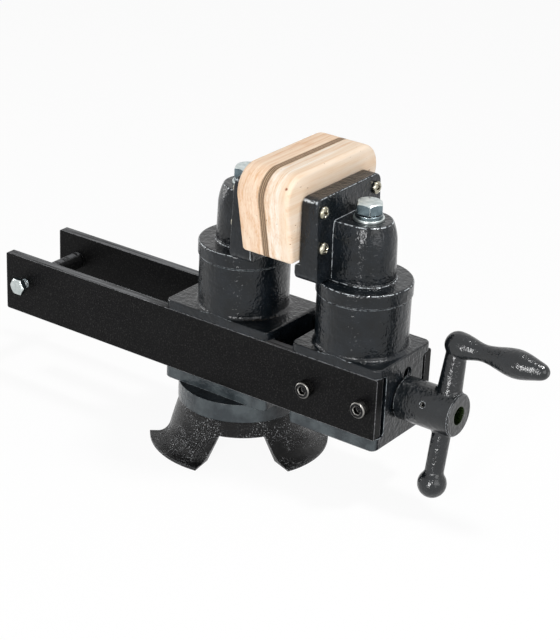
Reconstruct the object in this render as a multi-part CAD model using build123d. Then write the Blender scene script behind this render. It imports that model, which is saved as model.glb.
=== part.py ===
from build123d import *

import math
import os

# Patternmakers vise with two turning jaws, a sliding front block and a swivel base.
# Millimetres. The origin is on the swivel axis, at the mouth of the hole for the bench bolt.
# +X runs along the slide bars towards the crank, +Y is the far side, +Z is up.

# Running and seating clearances
run_gap = 0.05
slide_gap = 0.10
seat_gap = 0.05
hole_gap = 0.02

# Swivel base: a bell on three feet, with a wedge-shaped notch between each two
foot_plane = -14.0
base_height = 36.0
base_top_radius = 48.5
base_top_edge = 1.0
foot_radius = 72.0
foot_rim = 2.2
flare_radius = 10.0
wall_draft = 16.0
bell_wall = 6.0
bell_roof = 8.0
leg_count = 3
leg_turn = 9.0
notch_height = 23.5
notch_top_angle = 41.0
notch_foot_angle = 60.5
hub_radius = 27.0
hub_lift = 20.0
web_thickness = 6.0
web_height = 10.0

# Spigot of the rear block, which turns in the base
spigot_radius = 15.0
retainer_radius = 20.5
washer_thickness = 2.0
circlip_thickness = 1.5
circlip_depth = 1.2
circlip_radius = 19.0
circlip_gap = 8.0
bench_thread_radius = 6.9
bench_thread_depth = 28.0

# Slide bars
bar_height = 50.0
bar_thickness = 8.0
bar_spread = 74.0
bar_left = -218.5
bar_inset = 0.5
bar_corner = 1.5

# Cast blocks
disc_radius = 49.8
disc_height = 14.0
lower_flange = 10.5
upper_flange = 7.0
block_width = 73.0
rear_length = 99.6
front_length = 80.6
block_corner = 6.0
core_width = 50.0
core_fillet = 3.5
guide_pad_length = 24.0
guide_pad_height = 34.0
bar_boss_radius = 9.0
tower_spacing = 111.4
tower_radius = 35.8
tower_height = 41.5
tower_fillet = 3.0
cast_edge = 1.2
register_radius = 22.0
register_depth = 8.0
oil_hole_radius = 3.8
oil_hole_depth = 16.0
oil_hole_rise = 17.9
oil_hole_shift = 3.9
oil_hole_flare = 1.7

# Turning jaws
collar_radius = 36.8
collar_height = 12.0
collar_edge = 2.0
boss_height = 46.0
boss_foot_radius = 23.2
boss_foot_fillet = 2.0
boss_bend_height = 29.0
boss_bend_radius = 22.3
boss_top_radius = 18.9
boss_edge = 1.4
boss_side_taper = 1.0
boss_root_top_radius = 20.6
pad_thickness = 20.4
lining_thickness = 2.8
plate_half_width = 42.0
plate_bottom = 0.8
plate_height = 66.2
plate_top_thickness = 14.4
plate_draft = 2.5
plate_corner = 7.0
plate_edge = 1.2
plate_front_edge = 2.5
ledge_height = 13.4
ledge_reach = 2.8
ledge_nose = 2.4

# Wood pads: a block that is wider at its top, with round shoulders
pad_rise = 0.8
pad_height = 69.2
pad_top_half_width = 63.9
pad_foot_half_width = 49.5
pad_shoulder = 20.0
pad_foot_corner = 4.0
pad_edge = 3.6

# Pad screws, pan heads
pad_screw_spacing = 69.0
pad_screw_high = 55.7
pad_screw_low = 27.9
pad_screw_radius = 2.4
pad_screw_bite = 14.0
pan_head_radius = 4.9
pan_head_height = 3.0

# Jaw bolts, M12
jaw_bolt_radius = 6.0
jaw_bolt_flats = 19.0
jaw_bolt_head = 8.8
jaw_bolt_bite = 26.0
rear_bolt_turn = -6.0
front_bolt_turn = 5.0
flat_washer_radius = 11.8
flat_washer_thickness = 2.2
lock_washer_radius = 10.4
lock_washer_thickness = 3.0
lock_washer_slit = 1.2

# Cap screws of the front block, M8
cap_screw_radius = 4.0
cap_screw_bite = 18.0
cap_head_radius = 6.5
cap_head_height = 8.0
cap_head_edge = 0.8
cap_socket_flats = 6.0
cap_socket_depth = 4.0
cap_screw_spacing = 50.0
cap_screw_shift = 3.2

# Stop rod at the free end of the bars, with its M8 bolts
stop_rod_radius = 7.0
stop_rod_inset = 20.5
stop_rod_rise = 2.5
stop_bolt_radius = 4.0
stop_bolt_flats = 13.0
stop_bolt_head = 5.3
stop_bolt_show = 5.5
stop_bolt_bite = 15.0

# Lead screw, nut and crank
screw_drop = 1.4
thread_radius = 9.0
screw_tail = 104.0
screw_tail_edge = 1.5
journal_radius = 7.25
nut_radius = 16.0
nut_length = 46.0
nut_flange_radius = 20.0
nut_flange_thickness = 5.0
thrust_washer_radius = 14.0
thrust_washer_thickness = 2.0
crank_hub_radius = 16.9
crank_hub_length = 47.0
crank_bore_open = 14.0
crank_hub_edge = 1.0
crank_tilt = -9.5
crank_lean = 1.2
arm_from_end = 11.5
arm_fillet = 2.5
upper_arm_length = 52.6
upper_arm_root_radius = 10.3
upper_arm_tip_radius = 7.7
upper_ball_radius = 10.2
lower_arm_length = 58.2
lower_arm_radius = 7.3
lower_ball_radius = 11.2
lower_ball_blend = 6.0
handle_length = 75.6
handle_neck_at = 21.5
handle_neck_radius = 6.65
handle_bulge_at = 50.0
handle_bulge_radius = 10.85
handle_end_at = 67.5
handle_end_radius = 7.2
handle_tip_radius = 2.2
roll_pin_radius = 2.4
roll_pin_wall = 0.9
roll_pin_from_block = 26.0
roll_pin_turn = 26.0
roll_pin_inset = 1.0

# Heights that follow from the sizes above
base_top = foot_plane + base_height
hub_foot = foot_plane + hub_lift
disc_top = base_top + disc_height
bar_bottom = disc_top + lower_flange
bar_top = bar_bottom + bar_height
bar_middle = bar_bottom + bar_height / 2
screw_axis = bar_middle - screw_drop
flange_top = bar_top + upper_flange
tower_top = flange_top + tower_height
collar_top = tower_top + collar_height
boss_top = collar_top + boss_height
plate_foot = collar_top + plate_bottom
pad_foot = plate_foot + ledge_height + pad_rise

# Distances that follow along and across the bars
bar_inner = bar_spread / 2 - bar_thickness
front_end = tower_spacing + front_length / 2
front_start = tower_spacing - front_length / 2
bar_right = front_end - bar_inset
grip_plane = tower_spacing / 2
plate_front = grip_plane - lining_thickness - pad_thickness
stop_rod_x = bar_left + stop_rod_inset
stop_rod_z = bar_middle + stop_rod_rise
hub_start = front_end + thrust_washer_thickness
hub_end = hub_start + crank_hub_length
arm_x = hub_end - arm_from_end

os.makedirs("parts", exist_ok=True)


def save(node, shape):
    """Write one node, as one solid or as a group of separate solids."""
    export_step(shape, f"parts/{node}.step")


def z_cylinder(radius, bottom, top, x=0.0):
    """A cylinder along Z between two heights, on a vertical axis at x."""
    height = top - bottom
    return Pos(x, 0, bottom + height / 2) * Cylinder(radius, height)


def x_cylinder(radius, start, end, y=0.0, z=0.0):
    """A cylinder along X between two stations."""
    length = end - start
    return Pos(start + length / 2, y, z) * Rot(0, 90, 0) * Cylinder(radius, length)


def y_cylinder(radius, start, end, x=0.0, z=0.0):
    """A cylinder along Y between two stations."""
    length = end - start
    return Pos(x, start + length / 2, z) * Rot(90, 0, 0) * Cylinder(radius, length)


def span_box(x0, x1, y0, y1, z0, z1):
    """A box between two corners."""
    centre = Pos((x0 + x1) / 2, (y0 + y1) / 2, (z0 + z1) / 2)
    return centre * Box(x1 - x0, y1 - y0, z1 - z0)


def hex_prism(flats, height):
    """A hexagonal prism on the XY plane, with two flats facing +Y and -Y."""
    return extrude(RegularPolygon(flats / 2, 6, major_radius=False), height)


def hex_head(flats, height):
    """A bolt head with its outer corners turned down to a cone."""
    cut_slope = math.tan(math.radians(30))
    corner = flats / 2 / math.cos(math.radians(30))
    face = flats / 2 * 0.95
    drop = (corner - face) * cut_slope
    profile = Polyline((0, 0), (corner, 0), (corner, height - drop), (face, height), (0, height), close=True)
    turned = revolve(Plane.XZ * make_face(profile), Axis.Z)
    return hex_prism(flats, height) & turned


def edges_at(shape, axis, value, tolerance=0.01):
    """The edges whose centre lies at a value along an axis."""
    return shape.edges().filter_by_position(axis, value - tolerance, value + tolerance)


# Swivel base


def bell_profile():
    """Half section of the bell, from its feet up: a drafted wall that flares into a thin foot."""
    draft = math.radians(wall_draft)
    centre_z = foot_rim + flare_radius
    tangent_z = centre_z - flare_radius * math.sin(draft)
    tangent_r = base_top_radius + (base_height - base_top_edge - tangent_z) * math.tan(draft)
    centre_r = tangent_r + flare_radius * math.cos(draft)
    mid_angle = math.radians(180 + (wall_draft + 90) / 2)
    arc_middle = (
        centre_r + flare_radius * math.cos(mid_angle),
        centre_z + flare_radius * math.sin(mid_angle),
    )
    inner_foot = base_top_radius + base_height * math.tan(draft) - bell_wall / math.cos(draft)
    roof = base_height - bell_roof
    inner_roof = inner_foot - roof * math.tan(draft)
    outer = Polyline(
        (0, base_height),
        (base_top_radius - base_top_edge, base_height),
        (base_top_radius, base_height - base_top_edge),
    )
    wall = Line((base_top_radius, base_height - base_top_edge), (tangent_r, tangent_z))
    flare = ThreePointArc((tangent_r, tangent_z), arc_middle, (centre_r, foot_rim))
    rest = Polyline(
        (centre_r, foot_rim),
        (foot_radius, foot_rim),
        (foot_radius, 0),
        (inner_foot, 0),
        (inner_roof, roof),
        (0, roof),
        (0, base_height),
    )
    return make_face([outer, wall, flare, rest])


def notch():
    """The room between two feet: a wedge about +X, whose sides lean apart downwards."""
    start = base_top_radius - 2 * bell_wall
    reach = 2 * foot_radius
    sections = []
    for height, angle in ((0, notch_foot_angle), (notch_height, notch_top_angle)):
        slope = math.tan(math.radians(angle / 2))
        outline = Polyline(
            (start, -start * slope),
            (reach, -reach * slope),
            (reach, reach * slope),
            (start, start * slope),
            close=True,
        )
        sections.append(Pos(0, 0, height) * make_face(outline))
    return loft(sections)


def swivel_base():
    bell = revolve(Plane.XZ * bell_profile(), Axis.Z)
    for leg in range(leg_count):
        bell -= Rot(0, 0, leg_turn + (leg + 0.5) * 360 / leg_count) * notch()
    roof = base_height - bell_roof
    casting = bell + z_cylinder(hub_radius, hub_lift, roof + bell_roof / 2)
    web_reach = base_top_radius - bell_wall / 2
    web = span_box(
        spigot_radius + bell_wall, web_reach,
        -web_thickness / 2, web_thickness / 2,
        roof - web_height, roof + bell_roof / 2,
    )
    for leg in range(leg_count):
        casting += Rot(0, 0, leg_turn + leg * 360 / leg_count) * web
    casting -= z_cylinder(spigot_radius + run_gap, 0, base_height)
    return Pos(0, 0, foot_plane) * casting


save("swivel_base", swivel_base())


# Cast blocks


def block_section(bottom, top):
    """I-shaped section of a block, seen along the bars: two flanges on a core."""
    half = block_width / 2
    core = core_width / 2
    section = make_face(
        Polyline(
            (-half, disc_top),
            (half, disc_top),
            (half, bottom),
            (core, bottom),
            (core, top),
            (half, top),
            (half, flange_top),
            (-half, flange_top),
            (-half, top),
            (-core, top),
            (-core, bottom),
            (-half, bottom),
            close=True,
        )
    )
    inner_corners = section.vertices().filter_by(lambda vertex: abs(abs(vertex.X) - core) < 0.01)
    return Plane.YZ * fillet(inner_corners, core_fillet)


def tower(centre_x, length):
    """A round tower with a concave foot, which ends where the sides of its flange do."""
    bottom = flange_top - cast_edge
    foot_top = flange_top + tower_fillet
    foot = z_cylinder(tower_radius + tower_fillet, bottom, foot_top, centre_x)
    foot -= Pos(centre_x, 0, foot_top) * Torus(tower_radius + tower_fillet, tower_fillet)
    foot &= span_box(
        centre_x - length / 2, centre_x + length / 2,
        -block_width / 2, block_width / 2,
        bottom, foot_top,
    )
    return foot + z_cylinder(tower_radius, bottom, tower_top, centre_x)


def block_casting(length, centre_x, bottom, top):
    """Flanges, core and tower in one casting, without its machined holes."""
    casting = Pos(centre_x - length / 2, 0, 0) * extrude(block_section(bottom, top), length)
    half = block_width / 2
    corners = casting.edges().filter_by(Axis.Z)
    corners = corners.filter_by(lambda edge: abs(abs(edge.center().Y) - half) < 0.01)
    casting = fillet(corners, block_corner)
    casting = fillet(edges_at(casting, Axis.Z, flange_top), cast_edge)
    casting = chamfer(edges_at(casting, Axis.Z, disc_top), cast_edge)
    return casting + tower(centre_x, length)


def tower_holes(centre_x):
    """Register recess and tapped hole for the jaw bolt, at the top of a tower."""
    recess = z_cylinder(register_radius + run_gap, tower_top - register_depth, tower_top, centre_x)
    bite = jaw_bolt_bite + seat_gap
    tap = z_cylinder(
        jaw_bolt_radius + hole_gap,
        tower_top - register_depth - bite, tower_top,
        centre_x,
    )
    return recess + tap


def groove_span():
    """Heights of the circlip groove, under the washer that is under the hub of the base."""
    top = hub_foot - seat_gap - washer_thickness
    return top - circlip_thickness, top


def rear_block():
    block = block_casting(rear_length, 0, bar_bottom - slide_gap, bar_top + slide_gap)
    pad_face = bar_inner - slide_gap
    pad_station = rear_length / 2 - guide_pad_length / 2 - block_corner
    for station in (-pad_station, pad_station):
        block += span_box(
            station - guide_pad_length / 2, station + guide_pad_length / 2,
            -pad_face, pad_face,
            bar_middle - guide_pad_height / 2, bar_middle + guide_pad_height / 2,
        )
    block += z_cylinder(disc_radius, base_top + seat_gap, disc_top + cast_edge)
    block += z_cylinder(spigot_radius, 0, base_top + cast_edge)
    groove_bottom, groove_top = groove_span()
    groove = z_cylinder(spigot_radius + 1, groove_bottom, groove_top)
    groove -= z_cylinder(spigot_radius - circlip_depth, groove_bottom, groove_top)
    block -= groove
    block -= z_cylinder(bench_thread_radius, 0, bench_thread_depth)
    start = -rear_length / 2
    block -= x_cylinder(nut_flange_radius + hole_gap, start, start + nut_flange_thickness, 0, screw_axis)
    block -= x_cylinder(nut_radius + hole_gap, start, start + nut_length + seat_gap, 0, screw_axis)
    block -= x_cylinder(thread_radius + 1, start, rear_length / 2, 0, screw_axis)
    return block - tower_holes(0)


def front_block():
    stations = [tower_spacing + cap_screw_shift + side * cap_screw_spacing / 2 for side in (-1, 1)]
    block = block_casting(front_length, tower_spacing, bar_bottom, bar_top)
    for station in stations:
        block += y_cylinder(bar_boss_radius, -bar_inner, bar_inner, station, bar_middle)
    block -= x_cylinder(journal_radius + run_gap, front_start, front_end, 0, screw_axis)
    for station in stations:
        for side in (-1, 1):
            ends = sorted((side * bar_inner, side * (bar_inner - cap_screw_bite - seat_gap)))
            block -= y_cylinder(cap_screw_radius + hole_gap, ends[0], ends[1], station, bar_middle)
    oil_z = screw_axis + oil_hole_rise
    block -= x_cylinder(oil_hole_radius, front_end - oil_hole_depth, front_end, oil_hole_shift, oil_z)
    flare = Cone(oil_hole_radius, oil_hole_radius + oil_hole_flare, oil_hole_flare)
    block -= Pos(front_end - oil_hole_flare / 2, oil_hole_shift, oil_z) * Rot(0, 90, 0) * flare
    return block - tower_holes(tower_spacing)


save("rear_block", rear_block())
save("front_block", front_block())


def pivot_washer():
    bottom = hub_foot - seat_gap - washer_thickness
    ring = z_cylinder(retainer_radius, bottom, bottom + washer_thickness)
    return ring - z_cylinder(spigot_radius + run_gap, bottom, bottom + washer_thickness)


def pivot_circlip():
    """An open ring that sits in the groove of the spigot."""
    bottom, top = groove_span()
    ring = z_cylinder(circlip_radius, bottom + seat_gap, top)
    ring -= z_cylinder(spigot_radius - circlip_depth + run_gap, bottom, top)
    ring -= span_box(0, circlip_radius + 1, -circlip_gap / 2, circlip_gap / 2, bottom, top)
    return ring


save("pivot_washer", pivot_washer())
save("pivot_circlip", pivot_circlip())


# Slide bars


def slide_bar(side):
    """One flat bar. Side is -1 for the near bar and 1 for the far one."""
    inner = side * bar_inner
    outer = side * bar_spread / 2
    y0, y1 = sorted((inner, outer))
    bar = span_box(bar_left, bar_right, y0, y1, bar_bottom, bar_top)
    bar = fillet(bar.edges().filter_by(Axis.Y), bar_corner)
    for shift in (-1, 1):
        station = tower_spacing + cap_screw_shift + shift * cap_screw_spacing / 2
        bar -= y_cylinder(cap_screw_radius + slide_gap, y0, y1, station, bar_middle)
    return bar - y_cylinder(stop_bolt_radius + slide_gap, y0, y1, stop_rod_x, stop_rod_z)


save("near_bar", slide_bar(-1))
save("far_bar", slide_bar(1))


def cap_screw():
    """A socket cap screw along Z, head above the origin and shank below."""
    head = Pos(0, 0, cap_head_height / 2) * Cylinder(cap_head_radius, cap_head_height)
    head = chamfer(edges_at(head, Axis.Z, cap_head_height), cap_head_edge)
    below = bar_thickness + cap_screw_bite
    shank = Pos(0, 0, -below / 2) * Cylinder(cap_screw_radius, below)
    socket = Pos(0, 0, cap_head_height - cap_socket_depth) * hex_prism(cap_socket_flats, cap_socket_depth)
    return head + shank - socket


def bar_screws():
    screws = []
    for side in (-1, 1):
        for shift in (-1, 1):
            station = tower_spacing + cap_screw_shift + shift * cap_screw_spacing / 2
            place = Pos(station, side * bar_spread / 2, bar_middle) * Rot(-90 * side, 0, 0)
            screws.append(place * cap_screw())
    return Compound(screws)


def stop_rod():
    rod = y_cylinder(stop_rod_radius, -bar_inner, bar_inner, stop_rod_x, stop_rod_z)
    for side in (-1, 1):
        ends = sorted((side * bar_inner, side * (bar_inner - stop_bolt_bite - seat_gap)))
        rod -= y_cylinder(stop_bolt_radius + hole_gap, ends[0], ends[1], stop_rod_x, stop_rod_z)
    return rod


def stop_bolt():
    """A hex bolt along Z whose head stands off the bar by the length that shows."""
    head = Pos(0, 0, stop_bolt_show) * hex_head(stop_bolt_flats, stop_bolt_head)
    below = bar_thickness + stop_bolt_bite
    shank = Pos(0, 0, (stop_bolt_show - below) / 2) * Cylinder(stop_bolt_radius, stop_bolt_show + below)
    return head + shank


def stop_bolts():
    bolts = []
    for side in (-1, 1):
        place = Pos(stop_rod_x, side * bar_spread / 2, stop_rod_z) * Rot(-90 * side, 0, 0)
        bolts.append(place * stop_bolt())
    return Compound(bolts)


save("bar_screws", bar_screws())
save("stop_rod", stop_rod())
save("stop_bolts", stop_bolts())


# Lead screw, nut and crank


def lead_nut():
    """Flanged nut, let into the rear block from its free end, so that the flange takes the pull."""
    start = -rear_length / 2
    flange_end = start + nut_flange_thickness - seat_gap
    nut = x_cylinder(nut_radius, start, start + nut_length, 0, screw_axis)
    nut += x_cylinder(nut_flange_radius, start, flange_end, 0, screw_axis)
    return nut - x_cylinder(thread_radius + run_gap, start, start + nut_length, 0, screw_axis)


def lead_screw():
    shoulder = front_start - thrust_washer_thickness - seat_gap
    tail = -rear_length / 2 - screw_tail
    screw = x_cylinder(thread_radius, tail, shoulder, 0, screw_axis)
    screw = chamfer(edges_at(screw, Axis.X, tail), screw_tail_edge)
    screw += x_cylinder(journal_radius, shoulder, hub_end - crank_bore_open, 0, screw_axis)
    return screw - roll_pin_hole(roll_pin_radius + hole_gap)


def roll_pin_place():
    """Centre and direction of the roll pin: across the hub, in the plane of a turn of it."""
    return Pos(hub_start + roll_pin_from_block - thrust_washer_thickness, 0, screw_axis) * Rot(
        90 - roll_pin_turn, 0, 0
    )


def roll_pin_hole(radius):
    return roll_pin_place() * Cylinder(radius, 2 * crank_hub_radius + 4)


def roll_pin():
    length = 2 * (crank_hub_radius - roll_pin_inset)
    tube = Cylinder(roll_pin_radius, length) - Cylinder(roll_pin_radius - roll_pin_wall, length)
    return roll_pin_place() * tube


def thrust_washer(start):
    washer = x_cylinder(thrust_washer_radius, start, start + thrust_washer_thickness, 0, screw_axis)
    return washer - x_cylinder(
        journal_radius + run_gap, start, start + thrust_washer_thickness, 0, screw_axis
    )


def handle_profile():
    """Half outline of the handle along its own axis: ball, neck, bulge and blunt tip."""
    diagonal = upper_ball_radius * math.sqrt(0.5)
    ball = ThreePointArc((-upper_ball_radius, 0), (-diagonal, diagonal), (0, upper_ball_radius))
    grip = Spline(
        (0, upper_ball_radius),
        (handle_neck_at, handle_neck_radius),
        (handle_bulge_at, handle_bulge_radius),
        (handle_end_at, handle_end_radius),
        (handle_length, handle_tip_radius),
        tangents=((1, 0), (0.5, -1)),
    )
    rest = Polyline((handle_length, handle_tip_radius), (handle_length, 0), (-upper_ball_radius, 0))
    return make_face([ball, grip, rest])


def balance_profile():
    """Half outline of the lower arm: a straight stem that a concave arc blends into its ball."""
    centre_r = lower_arm_radius + lower_ball_blend
    centre_z = math.sqrt((lower_ball_radius + lower_ball_blend) ** 2 - centre_r**2)
    share = lower_ball_radius / (lower_ball_radius + lower_ball_blend)
    touch = (centre_r * share, centre_z * share)
    middle_angle = math.radians(180 + math.degrees(math.atan2(centre_z, centre_r)) / 2)
    middle = (
        centre_r + lower_ball_blend * math.cos(middle_angle),
        centre_z + lower_ball_blend * math.sin(middle_angle),
    )
    stem = Polyline(
        (0, lower_arm_length),
        (lower_arm_radius, lower_arm_length),
        (lower_arm_radius, centre_z),
    )
    blend = ThreePointArc((lower_arm_radius, centre_z), middle, touch)
    ball = ThreePointArc(touch, (lower_ball_radius, 0), (0, -lower_ball_radius))
    return make_face([stem, blend, ball, Line((0, -lower_ball_radius), (0, lower_arm_length))])


def hub_end_cut():
    """What is cut off past the end of the crank's hub, where a cone leaves its rim softened."""
    reach = crank_hub_radius + 2 * arm_fillet
    edge_start = hub_end - crank_hub_edge
    stub = hub_end + 2 * arm_fillet
    rim = x_cylinder(reach, edge_start, hub_end)
    cone = Cone(crank_hub_radius, crank_hub_radius - crank_hub_edge, crank_hub_edge)
    rim -= Pos(hub_end - crank_hub_edge / 2, 0, 0) * Rot(0, 90, 0) * cone
    return rim + x_cylinder(reach, hub_end, stub)


def crank():
    """Hub, two arms, balance ball and fixed handle, cast in one piece."""
    hub = x_cylinder(crank_hub_radius, hub_start, hub_end + 2 * arm_fillet)
    upper = Pos(0, 0, upper_arm_length / 2) * Cone(
        upper_arm_root_radius, upper_arm_tip_radius, upper_arm_length
    )
    lower = Pos(0, 0, -lower_arm_length) * revolve(Plane.XZ * balance_profile(), Axis.Z)
    casting = hub + Pos(arm_x, 0, 0) * Rot(0, crank_lean, 0) * (upper + lower)
    casting = fillet(casting.edges().filter_by(GeomType.BSPLINE), arm_fillet)
    casting -= hub_end_cut()
    grip_x = arm_x + upper_arm_length * math.sin(math.radians(crank_lean))
    casting += Pos(grip_x, 0, upper_arm_length) * revolve(handle_profile(), Axis.X)
    lowest = upper_arm_length - upper_ball_radius - arm_fillet
    joints = casting.edges().filter_by_position(Axis.Z, lowest, upper_arm_length - 1)
    joints = joints.filter_by_position(Axis.X, grip_x - upper_ball_radius, grip_x + upper_ball_radius)
    casting = fillet(joints, arm_fillet)
    casting = Pos(0, 0, screw_axis) * Rot(crank_tilt, 0, 0) * casting
    casting -= x_cylinder(journal_radius + hole_gap, hub_start, hub_end, 0, screw_axis)
    return casting - roll_pin_hole(roll_pin_radius + hole_gap)


save("lead_nut", lead_nut())
save("lead_screw", lead_screw())
save("inner_thrust_washer", thrust_washer(front_start - thrust_washer_thickness))
save("outer_thrust_washer", thrust_washer(front_end))
save("crank", crank())
save("roll_pin", roll_pin())


# Turning jaws, built on the rear tower with their face towards +X


def plate_section():
    """Side profile of the jaw plate: flat front with a round-nosed ledge, drafted back."""
    top = plate_foot + plate_height
    lean = plate_height * math.tan(math.radians(plate_draft))
    back_top = plate_front - plate_top_thickness
    ledge_top = plate_foot + ledge_height
    section = make_face(
        Polyline(
            (back_top - lean, plate_foot),
            (plate_front + ledge_reach, plate_foot),
            (plate_front + ledge_reach, ledge_top),
            (plate_front, ledge_top),
            (plate_front, top),
            (back_top, top),
            close=True,
        )
    )
    nose = section.vertices().group_by(Axis.X)[-1]
    return fillet(nose, ledge_nose)


def jaw_plate():
    """The drafted plate, with round corners seen along X and softened edges."""
    body = extrude(Plane.XZ * plate_section(), plate_half_width, both=True)
    outline = Plane.YZ * Pos(0, plate_foot + plate_height / 2) * RectangleRounded(
        2 * plate_half_width, plate_height, plate_corner
    )
    plate = body & extrude(outline, 2 * grip_plane)
    front = edges_at(plate, Axis.X, plate_front).filter_by(Axis.Z)
    plate = fillet(front, plate_front_edge)
    back = plate.faces().sort_by(Axis.X)[0].edges()
    return fillet(back, plate_edge)


def boss_side(foot, bend, top):
    """One side of the boss seen along X: drafted up to its bend, a long shoulder, a soft top edge."""
    side = Line((foot, 0), (bend, boss_bend_height))
    shoulder = TangentArc(side @ 1, (top, boss_height - boss_edge), tangent=side % 1)
    edge = TangentArc(shoulder @ 1, (top - boss_edge, boss_height), tangent=shoulder % 1)
    return [side, shoulder, edge]


def boss():
    """Half round behind the bolt, and drawn out to the plate as a web whose shoulders fade."""
    outline = boss_side(boss_foot_radius, boss_bend_radius, boss_top_radius)
    top = boss_top_radius - boss_edge
    rest = Polyline((top, boss_height), (0, boss_height), (0, 0), (boss_foot_radius, 0))
    back = revolve(Plane.YZ * make_face([*outline, rest]), Axis.Z, revolution_arc=180)
    sections = []
    for station, taper, width in (
        (0, 0, boss_top_radius),
        (plate_front - plate_top_thickness / 2, boss_side_taper, boss_root_top_radius),
    ):
        right = boss_side(boss_foot_radius - taper, boss_bend_radius - taper, width)
        left = [mirror(edge, Plane.YZ) for edge in right]
        across_top = Line((boss_edge - width, boss_height), (width - boss_edge, boss_height))
        across_foot = Line((taper - boss_foot_radius, 0), (boss_foot_radius - taper, 0))
        section = make_face([*right, *left, across_top, across_foot])
        sections.append(Plane.YZ * Pos(0, 0, station) * section)
    foot = z_cylinder(boss_foot_radius + boss_foot_fillet, -cast_edge, boss_foot_fillet)
    foot -= Pos(0, 0, boss_foot_fillet) * Torus(boss_foot_radius + boss_foot_fillet, boss_foot_fillet)
    return Pos(0, 0, collar_top) * (back + loft(sections) + foot)


def jaw_casting():
    collar = z_cylinder(collar_radius, tower_top + seat_gap, collar_top)
    collar = fillet(edges_at(collar, Axis.Z, collar_top), collar_edge)
    collar = chamfer(edges_at(collar, Axis.Z, tower_top + seat_gap), cast_edge)
    casting = collar + jaw_plate() + boss()
    casting += z_cylinder(register_radius, tower_top - register_depth + seat_gap, collar_top - cast_edge)
    casting -= z_cylinder(jaw_bolt_radius + run_gap, tower_top - register_depth, boss_top)
    for side, height in pad_screw_stations():
        casting -= x_cylinder(
            pad_screw_radius + slide_gap, 0, grip_plane, side, plate_foot + height
        )
    return casting


def pad_screw_stations():
    return [
        (side * pad_screw_spacing / 2, height)
        for side in (-1, 1)
        for height in (pad_screw_low, pad_screw_high)
    ]


def plate_back(height):
    """Distance from the tower axis to the drafted back of the plate, at a height above its foot."""
    lean = (plate_height - height) * math.tan(math.radians(plate_draft))
    return plate_front - plate_top_thickness - lean


def pad_outline():
    """Outline of a pad seen along X: wider at the top, round shoulders, small foot corners."""
    outline = make_face(
        Polyline(
            (-pad_foot_half_width, 0),
            (pad_foot_half_width, 0),
            (pad_top_half_width, pad_height),
            (-pad_top_half_width, pad_height),
            close=True,
        )
    )
    outline = fillet(outline.vertices().group_by(Axis.Y)[-1], pad_shoulder)
    outline = fillet(outline.vertices().group_by(Axis.Y)[0], pad_foot_corner)
    return Plane.YZ * Pos(0, pad_foot) * outline


def wood_pad():
    start = plate_front + seat_gap
    pad = Pos(start, 0, 0) * extrude(pad_outline(), pad_thickness - seat_gap)
    pad = fillet(edges_at(pad, Axis.X, start), pad_edge)
    for side, height in pad_screw_stations():
        pad -= x_cylinder(
            pad_screw_radius + hole_gap, start, plate_front + pad_screw_bite + seat_gap,
            side, plate_foot + height,
        )
    return pad


def pad_lining():
    start = plate_front + pad_thickness
    return Pos(start, 0, 0) * extrude(pad_outline(), lining_thickness - seat_gap)


def pan_screw(grip):
    """A pan head screw along X, its head behind the origin and its shank ahead."""
    rim = 0.35 * pan_head_height
    crown = ThreePointArc(
        (-pan_head_height, 0),
        (-0.84 * pan_head_height, 0.6 * pan_head_radius),
        (-rim, pan_head_radius),
    )
    rest = Polyline(
        (-rim, pan_head_radius),
        (0, pan_head_radius),
        (0, pad_screw_radius),
        (grip + pad_screw_bite, pad_screw_radius),
        (grip + pad_screw_bite, 0),
        (-pan_head_height, 0),
    )
    return revolve(make_face([crown, rest]), Axis.X)


def pad_screws():
    screws = []
    for side, height in pad_screw_stations():
        back = plate_back(height - pan_head_radius) - seat_gap
        grip = plate_front - back
        screws.append(Pos(back, side, plate_foot + height) * pan_screw(grip))
    return screws


def jaw_bolt(turn):
    """The bolt on which a jaw turns, with its hexagon at a turn about Z."""
    bottom = tower_top - register_depth - jaw_bolt_bite
    head_foot = boss_top + flat_washer_thickness + lock_washer_thickness
    bolt = z_cylinder(jaw_bolt_radius, bottom, head_foot)
    return bolt + Pos(0, 0, head_foot) * Rot(0, 0, turn) * hex_head(jaw_bolt_flats, jaw_bolt_head)


def flat_washer():
    top = boss_top + flat_washer_thickness
    washer = z_cylinder(flat_washer_radius, boss_top + seat_gap, top)
    return washer - z_cylinder(jaw_bolt_radius + run_gap, boss_top, top)


def lock_washer():
    """A split spring washer."""
    bottom = boss_top + flat_washer_thickness
    top = bottom + lock_washer_thickness
    washer = z_cylinder(lock_washer_radius, bottom, top)
    washer -= z_cylinder(jaw_bolt_radius + run_gap, bottom, top)
    slit = Rot(0, 0, 200) * span_box(
        0, lock_washer_radius + 1, -lock_washer_slit / 2, lock_washer_slit / 2, bottom, top
    )
    return washer - slit


# The front jaw is the same casting, turned to face the rear one
to_rear = Pos(0, 0, 0)
to_front = Pos(tower_spacing, 0, 0) * Rot(0, 0, 180)

for jaw_name, place, bolt_turn in (("rear", to_rear, rear_bolt_turn), ("front", to_front, front_bolt_turn)):
    save(f"{jaw_name}_jaw", place * jaw_casting())
    save(f"{jaw_name}_wood_pad", place * wood_pad())
    save(f"{jaw_name}_pad_lining", place * pad_lining())
    save(f"{jaw_name}_pad_screws", Compound([place * screw for screw in pad_screws()]))
    save(f"{jaw_name}_jaw_bolt", place * jaw_bolt(bolt_turn))
    save(f"{jaw_name}_flat_washer", place * flat_washer())
    save(f"{jaw_name}_lock_washer", place * lock_washer())
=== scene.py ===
"""Patternmakers vise: finishes, fasteners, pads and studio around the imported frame."""
import logging
import math
from dataclasses import dataclass
from enum import Enum
from functools import reduce
from typing import NamedTuple

import bpy
import numpy as np
from mathutils import Matrix, Vector


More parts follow.
